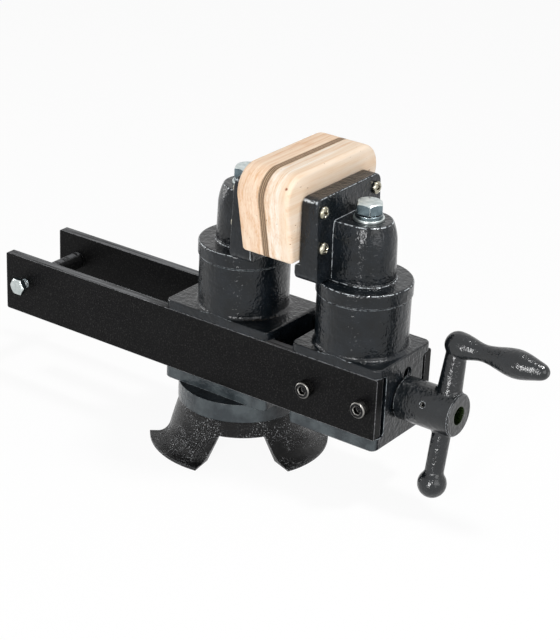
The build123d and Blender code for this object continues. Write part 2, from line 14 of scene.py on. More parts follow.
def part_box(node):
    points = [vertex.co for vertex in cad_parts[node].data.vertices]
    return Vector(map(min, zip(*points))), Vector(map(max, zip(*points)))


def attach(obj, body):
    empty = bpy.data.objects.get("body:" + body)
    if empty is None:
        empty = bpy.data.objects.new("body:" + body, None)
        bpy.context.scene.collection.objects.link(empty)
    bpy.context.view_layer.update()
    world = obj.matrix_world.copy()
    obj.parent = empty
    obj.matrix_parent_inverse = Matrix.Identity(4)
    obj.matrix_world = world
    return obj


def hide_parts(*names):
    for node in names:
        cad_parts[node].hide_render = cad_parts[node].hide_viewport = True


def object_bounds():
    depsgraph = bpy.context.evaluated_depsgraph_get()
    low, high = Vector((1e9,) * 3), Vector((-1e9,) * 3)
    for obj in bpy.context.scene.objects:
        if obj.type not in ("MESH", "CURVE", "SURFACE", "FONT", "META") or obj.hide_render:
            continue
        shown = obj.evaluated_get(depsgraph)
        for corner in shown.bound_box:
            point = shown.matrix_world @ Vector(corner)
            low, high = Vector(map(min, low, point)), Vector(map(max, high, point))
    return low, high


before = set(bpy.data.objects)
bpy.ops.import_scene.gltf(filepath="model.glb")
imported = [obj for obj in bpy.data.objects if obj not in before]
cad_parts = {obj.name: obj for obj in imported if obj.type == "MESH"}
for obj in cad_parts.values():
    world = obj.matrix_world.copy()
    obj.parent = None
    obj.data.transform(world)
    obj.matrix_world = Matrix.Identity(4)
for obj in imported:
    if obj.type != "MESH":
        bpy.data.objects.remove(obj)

MM = 0.001
CAD_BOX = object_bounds()
LOG = logging.getLogger("vise")

# An edge that turns by more than this stays sharp: on the pieces made here, and on the frame's own.
PIECE_SHARP_ANGLE = math.radians(35)
CAD_SHARP_ANGLE = math.radians(28)

Tree = bpy.types.NodeTree
Socket = bpy.types.NodeSocket
Point = tuple[float, float, float]


# Geometry


class Facing(Enum):
    """Where the own axis of a turned piece points: its columns are local X, Y and Z in the row frame."""

    UP = ((1, 0, 0), (0, 1, 0), (0, 0, 1))
    RIGHT = ((0, 0, 1), (1, 0, 0), (0, 1, 0))
    LEFT = ((0, 0, -1), (-1, 0, 0), (0, 1, 0))
    NEAR = ((1, 0, 0), (0, 0, -1), (0, 1, 0))
    FAR = ((-1, 0, 0), (0, 0, 1), (0, 1, 0))

    def place(self, points: np.ndarray, origin: Point) -> np.ndarray:
        """Turn local points to this facing and move them to an origin, all in millimetres."""
        return points @ np.array(self.value, float).T + np.array(origin, float)


@dataclass
class Skin:
    """One closed surface, in millimetres: points, then quads and triangles as rows of point numbers.

    A point's coat is the number of the finish that it wears, and a face takes the lowest of its points'.
    """

    points: np.ndarray
    quads: np.ndarray
    triangles: np.ndarray
    coats: np.ndarray

    def joined(self, other: "Skin") -> "Skin":
        """Both skins as one.

        Args:
            other: The second skin, whose faces are counted on from this one's points.

        Returns:
            The skin with the points and faces of both.
        """
        shift = len(self.points)
        return Skin(
            np.concatenate([self.points, other.points]),
            np.concatenate([self.quads, other.quads + shift]),
            np.concatenate([self.triangles, other.triangles + shift]),
            np.concatenate([self.coats, other.coats]),
        )

    def placed(self, facing: Facing, origin: Point) -> "Skin":
        """The same skin, turned to a facing and moved to an origin."""
        return Skin(facing.place(self.points, origin), self.quads, self.triangles, self.coats)

    def volume(self) -> float:
        """Signed volume: a sixth of the sum, over all triangles, of the first corner dotted with the cross
        product of the other two.

        Returns:
            Cubic millimetres, below 0 where the faces point inwards.
        """
        halves = [self.quads[:, [0, 1, 2]], self.quads[:, [0, 2, 3]], self.triangles]
        a, b, c = (self.points[column] for column in np.concatenate(halves).T)
        return float(np.einsum("ij,ij->", a, np.cross(b, c)) / 6)

    def outward(self) -> "Skin":
        """Turn the faces outwards.

        Returns:
            This skin, or one with its faces turned round where its volume is negative.
        """
        if self.volume() >= 0:
            return self
        return Skin(self.points, self.quads[:, ::-1], self.triangles[:, ::-1], self.coats)


def around(count: int) -> np.ndarray:
    """Angles in radians, evenly spaced once round."""
    return np.linspace(0, 2 * np.pi, count, endpoint=False)


def turned(profile: list[tuple], angle: np.ndarray) -> np.ndarray:
    """Rings about local Z: a profile point (r, h) becomes (r cos a, r sin a, h) for every angle a.

    Args:
        profile: Radius and height of each ring in millimetres, each one number or one for every angle.
        angle: The angles, in radians.

    Returns:
        An array of rings x angles x 3.
    """
    radius, height = (
        np.stack([np.broadcast_to(value, angle.shape) for value in column]) for column in zip(*profile)
    )
    return np.stack([radius * np.cos(angle), radius * np.sin(angle), height], axis=-1)


def grid_quads(rows: int, columns: int, wrap_rows: bool = False) -> np.ndarray:
    """Quads of a stack of rings: each joins a point to the next one round and to the ring after.

    Args:
        rows: Number of rings.
        columns: Number of points around.
        wrap_rows: Whether the last ring joins the first.

    Returns:
        One row of four point numbers for each quad.
    """
    row, column = np.meshgrid(np.arange(rows if wrap_rows else rows - 1), np.arange(columns), indexing="ij")
    here, below, right = row * columns, (row + 1) % rows * columns, (column + 1) % columns
    return np.stack([here + column, here + right, below + right, below + column], axis=-1).reshape(-1, 4)


def closed_tube(rings: np.ndarray, coats: np.ndarray | int = 0) -> Skin:
    """Close a stack of rings with a point at the middle of its first and last ring.

    Args:
        rings: An array of rings x points around x 3.
        coats: The number of the finish: one for all, one for each ring as a column, or one for each point.

    Returns:
        The closed skin, facing outwards.
    """
    rows, columns = rings.shape[:2]
    poles = np.stack([rings[0].mean(0), rings[-1].mean(0)])
    here = np.arange(columns)
    after = np.roll(here, -1)
    bottom, top, last = rows * columns, rows * columns + 1, (rows - 1) * columns
    fans = np.concatenate([
        np.stack([np.full(columns, bottom), after, here], axis=-1),
        np.stack([np.full(columns, top), last + here, last + after], axis=-1),
    ])
    coats = np.broadcast_to(coats, (rows, columns))
    return Skin(
        np.concatenate([rings.reshape(-1, 3), poles]), grid_quads(rows, columns), fans,
        np.concatenate([coats.ravel(), [coats[0].min(), coats[-1].min()]]),
    ).outward()


def closed_ring(rings: np.ndarray) -> Skin:
    """Close a stack of rings onto itself, as for a washer.

    Args:
        rings: An array of rings x points around x 3, whose last ring joins the first.

    Returns:
        The closed skin, facing outwards.
    """
    rows, columns = rings.shape[:2]
    quads = grid_quads(rows, columns, wrap_rows=True)
    return Skin(rings.reshape(-1, 3), quads, np.zeros((0, 3), int), np.zeros(rows * columns, int)).outward()


def turned_skin(rows: list[tuple], angle: np.ndarray) -> Skin:
    """A closed turned shape, each of whose rings wears its own finish.

    Args:
        rows: Radius, height and the number of the finish of each ring.
        angle: The angles around, in radians.

    Returns:
        The closed skin, about local Z.
    """
    coats = np.array([[coat] for *_, coat in rows])
    return closed_tube(turned([row[:2] for row in rows], angle), coats)


def hexagon_reach(angle: np.ndarray, flats: float, sharpness: float) -> np.ndarray:
    """Radius of a hexagon with faintly rounded corners and two flats that face local Y, towards each angle.

    It is half the flats over a soft maximum of the six flats' cosines: the p-norm of those cosines,
    where a larger p gives sharper corners.

    Args:
        angle: Directions in radians.
        flats: Width across the flats.
        sharpness: The exponent p.

    Returns:
        The radius for each direction.
    """
    normals = np.radians(np.arange(6) * 60 + 30)
    cosines = np.clip(np.cos(angle[:, None] - normals), 0, None)
    return flats / 2 / (cosines**sharpness).sum(1) ** (1 / sharpness)


def thread_rings(
    radius: float, depth: float, pitch: float, length: float, segments: int = 48, per_pitch: int = 10
) -> np.ndarray:
    """Rings of a screw thread about local Z, from height 0 up.

    A cosine of the phase h / pitch - a / (2 pi), stretched by half about its middle and cut off at 0
    and 1, makes flat crests and roots with sloping flanks between them. The radius falls by the whole
    depth towards both ends, so that the thread runs out.

    Args:
        radius: Outer radius.
        depth: Depth of the thread.
        pitch: Advance per turn.
        length: Length of the threaded part.
        segments: Points around.
        per_pitch: Rings per turn.

    Returns:
        The rings.
    """
    height = np.linspace(0, length, int(length / pitch * per_pitch) + 1)
    angle = around(segments)
    phase = height[:, None] / pitch - angle / (2 * np.pi)
    wave = 0.5 - 0.5 * np.cos(2 * np.pi * phase)
    flank = np.clip(1.5 * (wave - 0.5) + 0.5, 0, 1)
    fade = np.clip(np.minimum(height, length - height) / pitch, 0, 1)[:, None]
    return turned(list(zip(radius - depth * (1 - flank * fade), height)), angle)


def millimetres(node: str) -> tuple[np.ndarray, np.ndarray]:
    """Lowest and highest corner of a CAD node, in millimetres."""
    low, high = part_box(node)
    return np.array(low) / MM, np.array(high) / MM


# Nodes


class Node(Enum):
    """The kinds of node in use: Blender's name, the inputs that are given in order, output and settings."""

    PLACE = ("ShaderNodeTexCoord", (), "Object")
    NORMAL = ("ShaderNodeNewGeometry", (), "Normal")
    X = ("ShaderNodeSeparateXYZ", (0,), "X")
    Y = ("ShaderNodeSeparateXYZ", (0,), "Y")
    Z = ("ShaderNodeSeparateXYZ", (0,), "Z")
    STRETCHED = ("ShaderNodeMapping", ("Vector", "Scale"))
    MOVED = ("ShaderNodeMapping", ("Vector", "Location", "Scale"))
    LENGTH = ("ShaderNodeVectorMath", (0,), "Value", {"operation": "LENGTH"})
    COSINE = ("ShaderNodeVectorMath", (0, 1), "Value", {"operation": "DOT_PRODUCT"})
    NOISE = ("ShaderNodeTexNoise", ("Vector", "Scale", "Detail", "Roughness"), "Fac")
    BANDS = ("ShaderNodeTexWave", ("Vector", "Scale", "Distortion"), "Fac")
    RAMP = ("ShaderNodeMapRange", ("Value", "From Min", "From Max", "To Min", "To Max"))
    ABSOLUTE = ("ShaderNodeMath", (0,), 0, {"operation": "ABSOLUTE"})
    PRODUCT = ("ShaderNodeMath", (0, 1), 0, {"operation": "MULTIPLY"})
    PRODUCT_PLUS = ("ShaderNodeMath", (0, 1, 2), 0, {"operation": "MULTIPLY_ADD"})
    CAPPED_SUM = ("ShaderNodeMath", (0, 1), 0, {"operation": "ADD", "use_clamp": True})
    EITHER_VALUE = ("ShaderNodeMix", ("Factor", 2, 3))
    EITHER_COLOUR = ("ShaderNodeMix", ("Factor", 6, 7), 2, {"data_type": "RGBA"})
    ROUNDED_NORMAL = ("ShaderNodeBevel", ("Radius",), 0, {"samples": 8})
    RELIEF = ("ShaderNodeBump", ("Distance", "Height", "Normal"))
    SHADER = (
        "ShaderNodeBsdfPrincipled",
        ("Base Color", "Normal", "Roughness", "Specular IOR Level", "Metallic"),
    )
    MATERIAL = ("ShaderNodeOutputMaterial", ("Surface",), None)
    CAMERA_RAY = ("ShaderNodeLightPath", (), "Is Camera Ray")
    GLOSSY_RAY = ("ShaderNodeLightPath", (), "Is Glossy Ray")
    TRANSMISSION_RAY = ("ShaderNodeLightPath", (), "Is Transmission Ray")
    DIFFUSE = ("ShaderNodeBsdfDiffuse", ("Color",))
    EMISSION = ("ShaderNodeEmission", ("Color", "Strength"))
    EITHER_SHADER = ("ShaderNodeMixShader", (0, 1, 2))
    BACKGROUND = ("ShaderNodeBackground", ("Color", "Strength"))
    WORLD = ("ShaderNodeOutputWorld", ("Surface",), None)
    MESH_IN = ("NodeGroupInput", ())
    MESH_OUT = ("NodeGroupOutput", (0,), None)
    EDGE_ANGLE = ("GeometryNodeInputMeshEdgeAngle", (), "Unsigned Angle")
    ABOVE = ("FunctionNodeCompare", (0, 1), 0, {"data_type": "FLOAT", "operation": "GREATER_THAN"})
    SMOOTH_FACES = (
        "GeometryNodeSetShadeSmooth", ("Geometry", "Selection", "Shade Smooth"), 0, {"domain": "FACE"},
    )
    SMOOTH_EDGES = (
        "GeometryNodeSetShadeSmooth", ("Geometry", "Selection", "Shade Smooth"), 0, {"domain": "EDGE"},
    )

    def __init__(
        self, type_name: str, inputs: tuple, output: int | str | None = 0, settings: dict | None = None
    ) -> None:
        """Keep what describes the kind.

        Args:
            type_name: Blender's name for the node type.
            inputs: Names or numbers of the inputs that are given, in order.
            output: The output that is read, or None where the node ends a tree.
            settings: Fields of the node.
        """
        self.type_name = type_name
        self.inputs = inputs
        self.output = output
        self.settings = settings or {}


def linear(hex_colour: str) -> tuple[float, float, float, float]:
    """An sRGB hex colour as linear values: each channel is undone from the sRGB curve.

    Args:
        hex_colour: Six hex digits.

    Returns:
        Red, green, blue and an alpha of 1.
    """
    channels = [int(hex_colour[k : k + 2], 16) / 255 for k in (0, 2, 4)]
    straight = [c / 12.92 if c <= 0.04045 else ((c + 0.055) / 1.055) ** 2.4 for c in channels]
    return (*straight, 1.0)


def add(tree: Tree, kind: Node, *values: Socket | str | float | tuple) -> Socket | None:
    """Add a node, set its fields, and link or set its inputs.

    Args:
        tree: The node tree.
        kind: The kind of node.
        values: A socket, number, vector or hex colour for each of the kind's inputs; the rest keep theirs.

    Returns:
        The output that the kind names, or None where it ends a tree.
    """
    node = tree.nodes.new(kind.type_name)
    for key, setting in kind.settings.items():
        setattr(node, key, setting)
    for key, value in zip(kind.inputs, values):
        if isinstance(value, Socket):
            tree.links.new(value, node.inputs[key])
        else:
            node.inputs[key].default_value = linear(value) if isinstance(value, str) else value
    return None if kind.output is None else node.outputs[kind.output]


def summed(tree: Tree, *weighted: tuple[Socket, float]) -> Socket:
    """Sum of sockets, each times its own weight.

    Args:
        tree: The node tree.
        weighted: Pairs of a socket and its weight.

    Returns:
        The sum.
    """
    total = 0.0
    for socket, weight in weighted:
        total = add(tree, Node.PRODUCT_PLUS, socket, weight, total)
    return total


def broken(tree: Tree, mask: Socket, pattern: Socket, low: float, high: float) -> Socket:
    """A mask that fades out where a pattern is low: it times the pattern stretched from low..high to 0..1.

    Args:
        tree: The node tree.
        mask: The mask, from 0 to 1.
        pattern: The pattern that breaks it up.
        low: Value of the pattern at which nothing is left.
        high: Value of the pattern at which all is left.

    Returns:
        The broken mask.
    """
    return add(tree, Node.PRODUCT, mask, add(tree, Node.RAMP, pattern, low, high))


def toned(
    tree: Tree, pattern: Socket, low: float, high: float, first: Socket | str, second: Socket | str
) -> Socket:
    """A colour that turns from one to another as a pattern rises.

    Args:
        tree: The node tree.
        pattern: The pattern.
        low: Value of the pattern up to which the first colour stands.
        high: Value of the pattern from which the second colour stands.
        first: Hex colour or socket.
        second: Hex colour or socket.

    Returns:
        The colour.
    """
    return add(tree, Node.EITHER_COLOUR, add(tree, Node.RAMP, pattern, low, high), first, second)


def cells(
    tree: Tree, place: Socket, size: float, detail: float = 2.0, stretch: Point = (1, 1, 1),
    roughness: float = 0.5,
) -> Socket:
    """A cloudy pattern whose cells are about size millimetres across, drawn out by stretch.

    Args:
        tree: The node tree.
        place: Coordinates of the surface, in metres.
        size: Size of a cell, in millimetres.
        detail: Octaves of finer pattern.
        stretch: How much longer the cells are along each axis.
        roughness: Share that each finer octave keeps.

    Returns:
        The pattern, around 0.5.
    """
    if stretch != (1, 1, 1):
        place = add(tree, Node.STRETCHED, place, tuple(1 / s for s in stretch))
    return add(tree, Node.NOISE, place, 1 / (size * MM), detail, roughness)


def distance(tree: Tree, place: Socket, centre: Point, axes: Point = (1, 1, 1)) -> Socket:
    """Distance from a centre along the axes that are 1, so that a single 0 gives the distance from a line.

    Args:
        tree: The node tree.
        place: Coordinates of the surface, in metres.
        centre: The centre, in millimetres.
        axes: 1 or 0 for each axis.

    Returns:
        The distance, in metres.
    """
    shift = tuple(-value * MM for value in centre)
    return add(tree, Node.LENGTH, add(tree, Node.MOVED, place, shift, axes))


def edges(tree: Tree, rounded: Socket) -> Socket:
    """How near a sharp edge a point is: the cosine between the true and the rounded normal, from 0 where
    they agree within 10 degrees to 1 where they part by 30.

    Args:
        tree: The node tree.
        rounded: The normal as if every edge were rounded.

    Returns:
        The nearness, from 0 to 1.
    """
    cosine = add(tree, Node.COSINE, rounded, add(tree, Node.NORMAL))
    return add(tree, Node.RAMP, cosine, 0.985, 0.86)


# Finishes


class Look(NamedTuple):
    """What a shader is given: a socket where it changes over the surface, else a number."""

    colour: Socket
    normal: Socket
    roughness: Socket | float
    level: float = 0.5
    metallic: float = 0.0


@dataclass(frozen=True)
class Finish:
    """A surface finish. Each kind of finish works out its own look."""

    name: str

    def material(self) -> bpy.types.Material:
        """Build the finish as a material.

        Returns:
            A new material.
        """
        made = bpy.data.materials.new(self.name)
        made.use_nodes = True
        tree = made.node_tree
        tree.nodes.clear()
        look = self.dress(tree, add(tree, Node.PLACE))
        add(tree, Node.MATERIAL, add(tree, Node.SHADER, *look))
        LOG.info("finish %s", self.name)
        return made

    def dress(self, tree: Tree, place: Socket) -> Look:
        """Work out this finish's colour, relief and gloss.

        Args:
            tree: The material's node tree.
            place: Coordinates of the surface, in metres.

        Returns:
            What its shader is given.
        """
        raise NotImplementedError


@dataclass(frozen=True)
class BrushedEnamel(Finish):
    """Machinery enamel laid with a brush on sand-cast iron: the eye reads soft lumps of the sand under a
    glossy skin that glints in specks, faint brush strokes, and a paler broken line on edges, partly paint
    worn thin over the edge and partly a painted highlight. Brush hairs leave finer strokes than the render
    can show, so they are drawn 1.6 mm wide."""

    tone: str = "14191e"
    shade: str = "0b0f12"
    # Pale tone of the edge lines, partly worn paint and partly a painted highlight, and of the painted
    # highlights on fillets.
    edge: str = "ccd2d6"
    gloss: float = 0.11
    matter: float = 0.09
    level: float = 0.36
    lump_size: float = 6.0
    grain_size: float = 2.4
    stroke_size: float = 1.6
    patch_size: float = 14.0
    relief: float = 1.3
    edge_width: float = 0.8
    fillet_highlight_share: float = 0.0
    sill: float = 0.0
    sill_tone: str = "434a4d"
    sill_shade: str = "2d3337"

    def dress(self, tree: Tree, place: Socket) -> Look:
        """Lumps, grain and strokes as relief; two greys by patches; a pale line on edges, part worn paint
        and part painted highlight; painted highlights along the fillets; a paler sill.

        Args:
            tree: The material's node tree.
            place: Coordinates of the surface, in metres.

        Returns:
            What its shader is given.
        """
        lumps = cells(tree, place, self.lump_size)
        grain = cells(tree, place, self.grain_size)
        strokes = cells(tree, place, self.stroke_size, 1.0, (1, 1, 7))
        patches = cells(tree, place, self.patch_size, 3.0)
        height = summed(tree, (lumps, 0.45), (grain, 0.4), (strokes, 0.15))
        rounded = add(tree, Node.ROUNDED_NORMAL, self.edge_width * MM)
        colour = toned(tree, patches, 0.35, 0.65, self.shade, self.tone)
        # The pale line on edges is partly paint worn thin and partly a painted highlight.
        edge_line = broken(tree, edges(tree, rounded), grain, 0.37, 0.5)
        colour = add(tree, Node.EITHER_COLOUR, edge_line, colour, self.edge)
        # Painted highlights: broken bright lines along the fillets.
        if self.fillet_highlight_share:
            colour = add(tree, Node.EITHER_COLOUR, self.painted_fillet_lines(tree, grain), colour, self.edge)
        if self.sill:
            thin = toned(tree, patches, 0.4, 0.6, self.sill_shade, self.sill_tone)
            colour = add(tree, Node.EITHER_COLOUR, self.sill_mask(tree, place), colour, thin)
        roughness = add(tree, Node.RAMP, patches, 0.3, 0.7, self.gloss, self.gloss + self.matter)
        normal = add(tree, Node.RELIEF, self.relief * MM, height, rounded)
        return Look(colour, normal, roughness, self.level)

    def painted_fillet_lines(self, tree: Tree, grain: Socket) -> Socket:
        """A painted highlight: a broken bright line along the middle of the fillets, where the normal leans
        up by about 40 degrees.

        Args:
            tree: The material's node tree.
            grain: The pattern that breaks the line up.

        Returns:
            The mask, from 0 to the share of painted highlight.
        """
        up = add(tree, Node.Z, add(tree, Node.NORMAL))
        line = broken(tree, add(tree, Node.RAMP, up, 0.5, 0.62), up, 0.84, 0.72)
        return add(tree, Node.PRODUCT, broken(tree, line, grain, 0.44, 0.56), self.fillet_highlight_share)

    def sill_mask(self, tree: Tree, place: Socket) -> Socket:
        """Where the sides lie below the sill's height: a step of z, times how far the normal leans to Y.

        Args:
            tree: The material's node tree.
            place: Coordinates of the surface, in metres.

        Returns:
            The mask, from 0 to 1.
        """
        low = add(tree, Node.RAMP, add(tree, Node.Z, place), (self.sill + 0.1) * MM, (self.sill - 0.1) * MM)
        aside = add(tree, Node.ABSOLUTE, add(tree, Node.Y, add(tree, Node.NORMAL)))
        return broken(tree, low, aside, 0.3, 0.6)


@dataclass(frozen=True)
class CrankEnamel(BrushedEnamel):
    """The same enamel on the crank, whose bore still shows the green priming coat."""

    axis_height: float = 70.1
    bore_radius: float = 8.0
    priming: str = "18240f"

    def dress(self, tree: Tree, place: Socket) -> Look:
        """The enamel's look, and the priming coat within a radius of the bore's axis, which runs along X.

        Args:
            tree: The material's node tree.
            place: Coordinates of the surface, in metres.

        Returns:
            What its shader is given.
        """
        look = super().dress(tree, place)
        reach = distance(tree, place, (0, 0, self.axis_height), (0, 1, 1))
        rim, wall = (self.bore_radius + 0.1) * MM, (self.bore_radius - 0.1) * MM
        return look._replace(colour=toned(tree, reach, rim, wall, look.colour, self.priming))


@dataclass(frozen=True)
class RoughBlack(Finish):
    """Black enamel sprayed on a rough sand casting: coarse grit under a thin glossy film, pale specks
    painted in clusters on the grit as glints, a painted highlight, and black where no light is thrown back.
    Moulding sand is about 0.4 mm, too fine for the render, so the grit is drawn at 0.95 mm."""

    tone: str = "060607"
    edge: str = "7d8084"
    painted_glint_tone: str = "aeb0b2"
    gloss: float = 0.15
    level: float = 0.17
    grit_size: float = 0.95
    lump_size: float = 5.0
    cluster_size: float = 16.0
    relief: float = 1.5
    edge_width: float = 0.8

    def dress(self, tree: Tree, place: Socket) -> Look:
        """Grit and lumps as relief; black with clusters of painted glints, pale specks as painted highlight;
        a broken pale line on edges.

        Args:
            tree: The material's node tree.
            place: Coordinates of the surface, in metres.

        Returns:
            What its shader is given.
        """
        grit = cells(tree, place, self.grit_size, 3.0, roughness=0.6)
        lumps = cells(tree, place, self.lump_size)
        clusters = cells(tree, place, self.cluster_size, 1.0)
        height = summed(tree, (grit, 0.6), (lumps, 0.4))
        rounded = add(tree, Node.ROUNDED_NORMAL, self.edge_width * MM)
        # Painted glints: pale specks on the grit's peaks, in clusters, painted as highlight.
        painted_glints = broken(tree, add(tree, Node.RAMP, grit, 0.59, 0.66), clusters, 0.42, 0.56)
        colour = add(tree, Node.EITHER_COLOUR, painted_glints, self.tone, self.painted_glint_tone)
        edge_line = broken(tree, edges(tree, rounded), grit, 0.42, 0.6)
        colour = add(tree, Node.EITHER_COLOUR, edge_line, colour, self.edge)
        normal = add(tree, Node.RELIEF, self.relief * MM, height, rounded)
        return Look(colour, normal, self.gloss, self.level)


@dataclass(frozen=True)
class PowderCoat(Finish):
    """Fine-textured black powder coat baked on flat steel bar: a matt grain of tiny grey specks, rubbed
    grey where sliding hands and work have worn its edges. The real grain is about 0.3 mm, too fine for the
    render, so it is drawn at 1.2 mm."""

    tone: str = "080809"
    cloud: str = "0d0d0e"
    speck: str = "2b2b2a"
    edge: str = "9b9c9f"
    rub: str = "6a6b6d"
    roughness: float = 0.42
    level: float = 0.08
    grain_size: float = 1.2
    cloud_size: float = 30.0
    streak_size: float = 1.6
    relief: float = 0.25
    edge_width: float = 0.9

    def dress(self, tree: Tree, place: Socket) -> Look:
        """Grain as relief; black with specks in its peaks; grey on rubbed edges and in streaks on top.

        Args:
            tree: The material's node tree.
            place: Coordinates of the surface, in metres.

        Returns:
            What its shader is given.
        """
        grain = cells(tree, place, self.grain_size, roughness=0.6)
        clouds = cells(tree, place, self.cloud_size, 3.0)
        streaks = cells(tree, place, self.streak_size, 2.0, (30, 1, 1))
        rounded = add(tree, Node.ROUNDED_NORMAL, self.edge_width * MM)
        up = add(tree, Node.Z, add(tree, Node.NORMAL))
        rubbed = broken(tree, add(tree, Node.RAMP, up, 0.8, 0.95), streaks, 0.35, 0.6)
        colour = toned(tree, clouds, 0.3, 0.7, self.tone, self.cloud)
        colour = toned(tree, grain, 0.54, 0.72, colour, self.speck)
        colour = add(tree, Node.EITHER_COLOUR, rubbed, colour, self.rub)
        edge_line = broken(tree, edges(tree, rounded), grain, 0.3, 0.6)
        colour = add(tree, Node.EITHER_COLOUR, edge_line, colour, self.edge)
        normal = add(tree, Node.RELIEF, self.relief * MM, grain, rounded)
        return Look(colour, normal, self.roughness, self.level)


@dataclass(frozen=True)
class PlatedSteel(Finish):
    """Plated or oxidised steel, such as zinc on a pressed bolt: bright metal with a cloudy bloom, fine marks
    from the press and the barrel, and edges of another tone, rubbed metal on most finishes and a painted
    highlight on clear zinc. The real marks are about 0.1 mm, too fine for the render, so they are drawn at
    0.9 mm."""

    tone: str = "c9d2d4"
    bloom: str = "aab6ba"
    rubbed: str = "e2e6e6"
    roughness: float = 0.28
    bloom_matter: float = 0.12
    mark_size: float = 0.9
    bloom_size: float = 4.0
    relief: float = 0.03
    edge_width: float = 0.35

    def dress(self, tree: Tree, place: Socket) -> Look:
        """Metal with a bloom in patches, faint marks and edges of the rubbed tone, which on clear zinc is a
        painted highlight.

        Args:
            tree: The material's node tree.
            place: Coordinates of the surface, in metres.

        Returns:
            What its shader is given.
        """
        marks = cells(tree, place, self.mark_size, 3.0)
        cloud = cells(tree, place, self.bloom_size)
        rounded = add(tree, Node.ROUNDED_NORMAL, self.edge_width * MM)
        colour = toned(tree, cloud, 0.35, 0.65, self.tone, self.bloom)
        # Edges take the rubbed tone; on clear zinc it is a painted highlight.
        colour = add(tree, Node.EITHER_COLOUR, edges(tree, rounded), colour, self.rubbed)
        normal = add(tree, Node.RELIEF, self.relief * MM, marks, rounded)
        matt = self.roughness + self.bloom_matter
        roughness = add(tree, Node.RAMP, cloud, 0.3, 0.7, self.roughness, matt)
        return Look(colour, normal, roughness, metallic=1.0)


@dataclass(frozen=True)
class SawnMaple(Finish):
    """Maple sawn and sanded, then left bare: straight pale grain along Y, growth layers that show as
    upright bands on the ends, fine fibres, a few short dark flecks, and where the sapwood ends a step to
    a warmer tone. Real fibres are about 0.1 mm, too fine for the render, so they are drawn at 0.9 mm."""

    light: str = "efdcc6"
    dark: str = "e6c6a4"
    heart: str = "cd9c70"
    fleck: str = "84532f"
    knot: str = "8c4a2c"
    roughness: float = 0.6
    level: float = 0.3
    layer: float = 7.0
    streak_size: float = 2.6
    fibre_size: float = 0.9
    stain_size: float = 11.0
    fleck_size: float = 1.0
    warmth: float = 0.55
    relief: float = 0.05
    sapwood_end: float = 0.0
    sapwood_step: float = 1.2
    knot_place: Point = (0.0, 0.0, 0.0)
    knot_radius: float = 0.0

    def dress(self, tree: Tree, place: Socket) -> Look:
        """Growth layers across X, fibres as fine stretched cells, stains, flecks, sapwood and a knot.

        The streaks run along Y everywhere, and change with X on the ends and on top, and with Z on the
        faces that look along X.

        Args:
            tree: The material's node tree.
            place: Coordinates of the surface, in metres.

        Returns:
            What its shader is given.
        """
        turned_away = add(tree, Node.ABSOLUTE, add(tree, Node.X, add(tree, Node.NORMAL)))
        aside = add(tree, Node.RAMP, turned_away, 0.3, 0.8)
        across = cells(tree, place, self.streak_size, 2.0, (0.45, 26, 5))
        upright = cells(tree, place, self.streak_size, 3.0, (5, 22, 0.5), 0.65)
        streaks = add(tree, Node.EITHER_VALUE, aside, across, upright)
        across = cells(tree, place, self.layer, 2.0, (0.5, 16, 5))
        upright = cells(tree, place, self.layer, 2.0, (5, 16, 0.6))
        layers = add(tree, Node.EITHER_VALUE, aside, across, upright)
        fibres = cells(tree, place, self.fibre_size, 2.0, (0.8, 24, 2.5))
        blotches = cells(tree, place, self.stain_size, 2.0, (1, 2.2, 1))
        flecks = cells(tree, place, self.fleck_size, 0.0, (1, 4.5, 1.5))
        tone = summed(tree, (layers, 0.45), (streaks, 0.35), (fibres, 0.2))
        colour = toned(tree, tone, 0.42, 0.58, self.light, self.dark)
        colour = toned(tree, tone, 0.55, 0.68, colour, self.heart)
        stains = broken(tree, add(tree, Node.RAMP, blotches, 0.5, 0.72), fibres, 0.3, 0.7)
        stains = add(tree, Node.PRODUCT, stains, self.warmth)
        colour = add(tree, Node.EITHER_COLOUR, stains, colour, self.heart)
        if self.sapwood_end:
            end, inner = self.sapwood_end * MM, (self.sapwood_end + self.sapwood_step) * MM
            warm = add(tree, Node.RAMP, add(tree, Node.X, place), end, inner, 0.0, self.warmth)
            colour = add(tree, Node.EITHER_COLOUR, warm, colour, self.dark)
        colour = toned(tree, flecks, 0.81, 0.9, colour, self.fleck)
        if self.knot_radius:
            reach = distance(tree, place, self.knot_place)
            rim, core = self.knot_radius * MM, 0.4 * self.knot_radius * MM
            colour = toned(tree, reach, rim, core, colour, self.knot)
        return Look(colour, add(tree, Node.RELIEF, self.relief * MM, fibres), self.roughness, self.level)


@dataclass(frozen=True)
class PressedBoard(Finish):
    """Hard pressed facing glued to the pads: brown and fibrous, in thin layers that show on its edge. Real
    fibres are about 0.1 mm, too fine for the render, so they are drawn at 0.9 mm."""

    tone: str = "a38a70"
    dark: str = "5c4937"
    roughness: float = 0.7
    level: float = 0.3
    layer: float = 1.6
    waviness: float = 0.8
    fibre_size: float = 0.9
    relief: float = 0.08

    def dress(self, tree: Tree, place: Socket) -> Look:
        """Layers as bands across X, each of one layer's thickness, and short fibres in the plane.

        Blender's bands repeat after a twentieth of a full turn of their scaled coordinate.

        Args:
            tree: The material's node tree.
            place: Coordinates of the surface, in metres.

        Returns:
            What its shader is given.
        """
        layers = add(tree, Node.BANDS, place, math.tau / 20 / (self.layer * MM), self.waviness)
        fibres = cells(tree, place, self.fibre_size, 3.0, (1, 6, 2))
        tone = summed(tree, (layers, 0.5), (fibres, 0.5))
        colour = toned(tree, tone, 0.3, 0.68, self.dark, self.tone)
        return Look(colour, add(tree, Node.RELIEF, self.relief * MM, fibres), self.roughness, self.level)


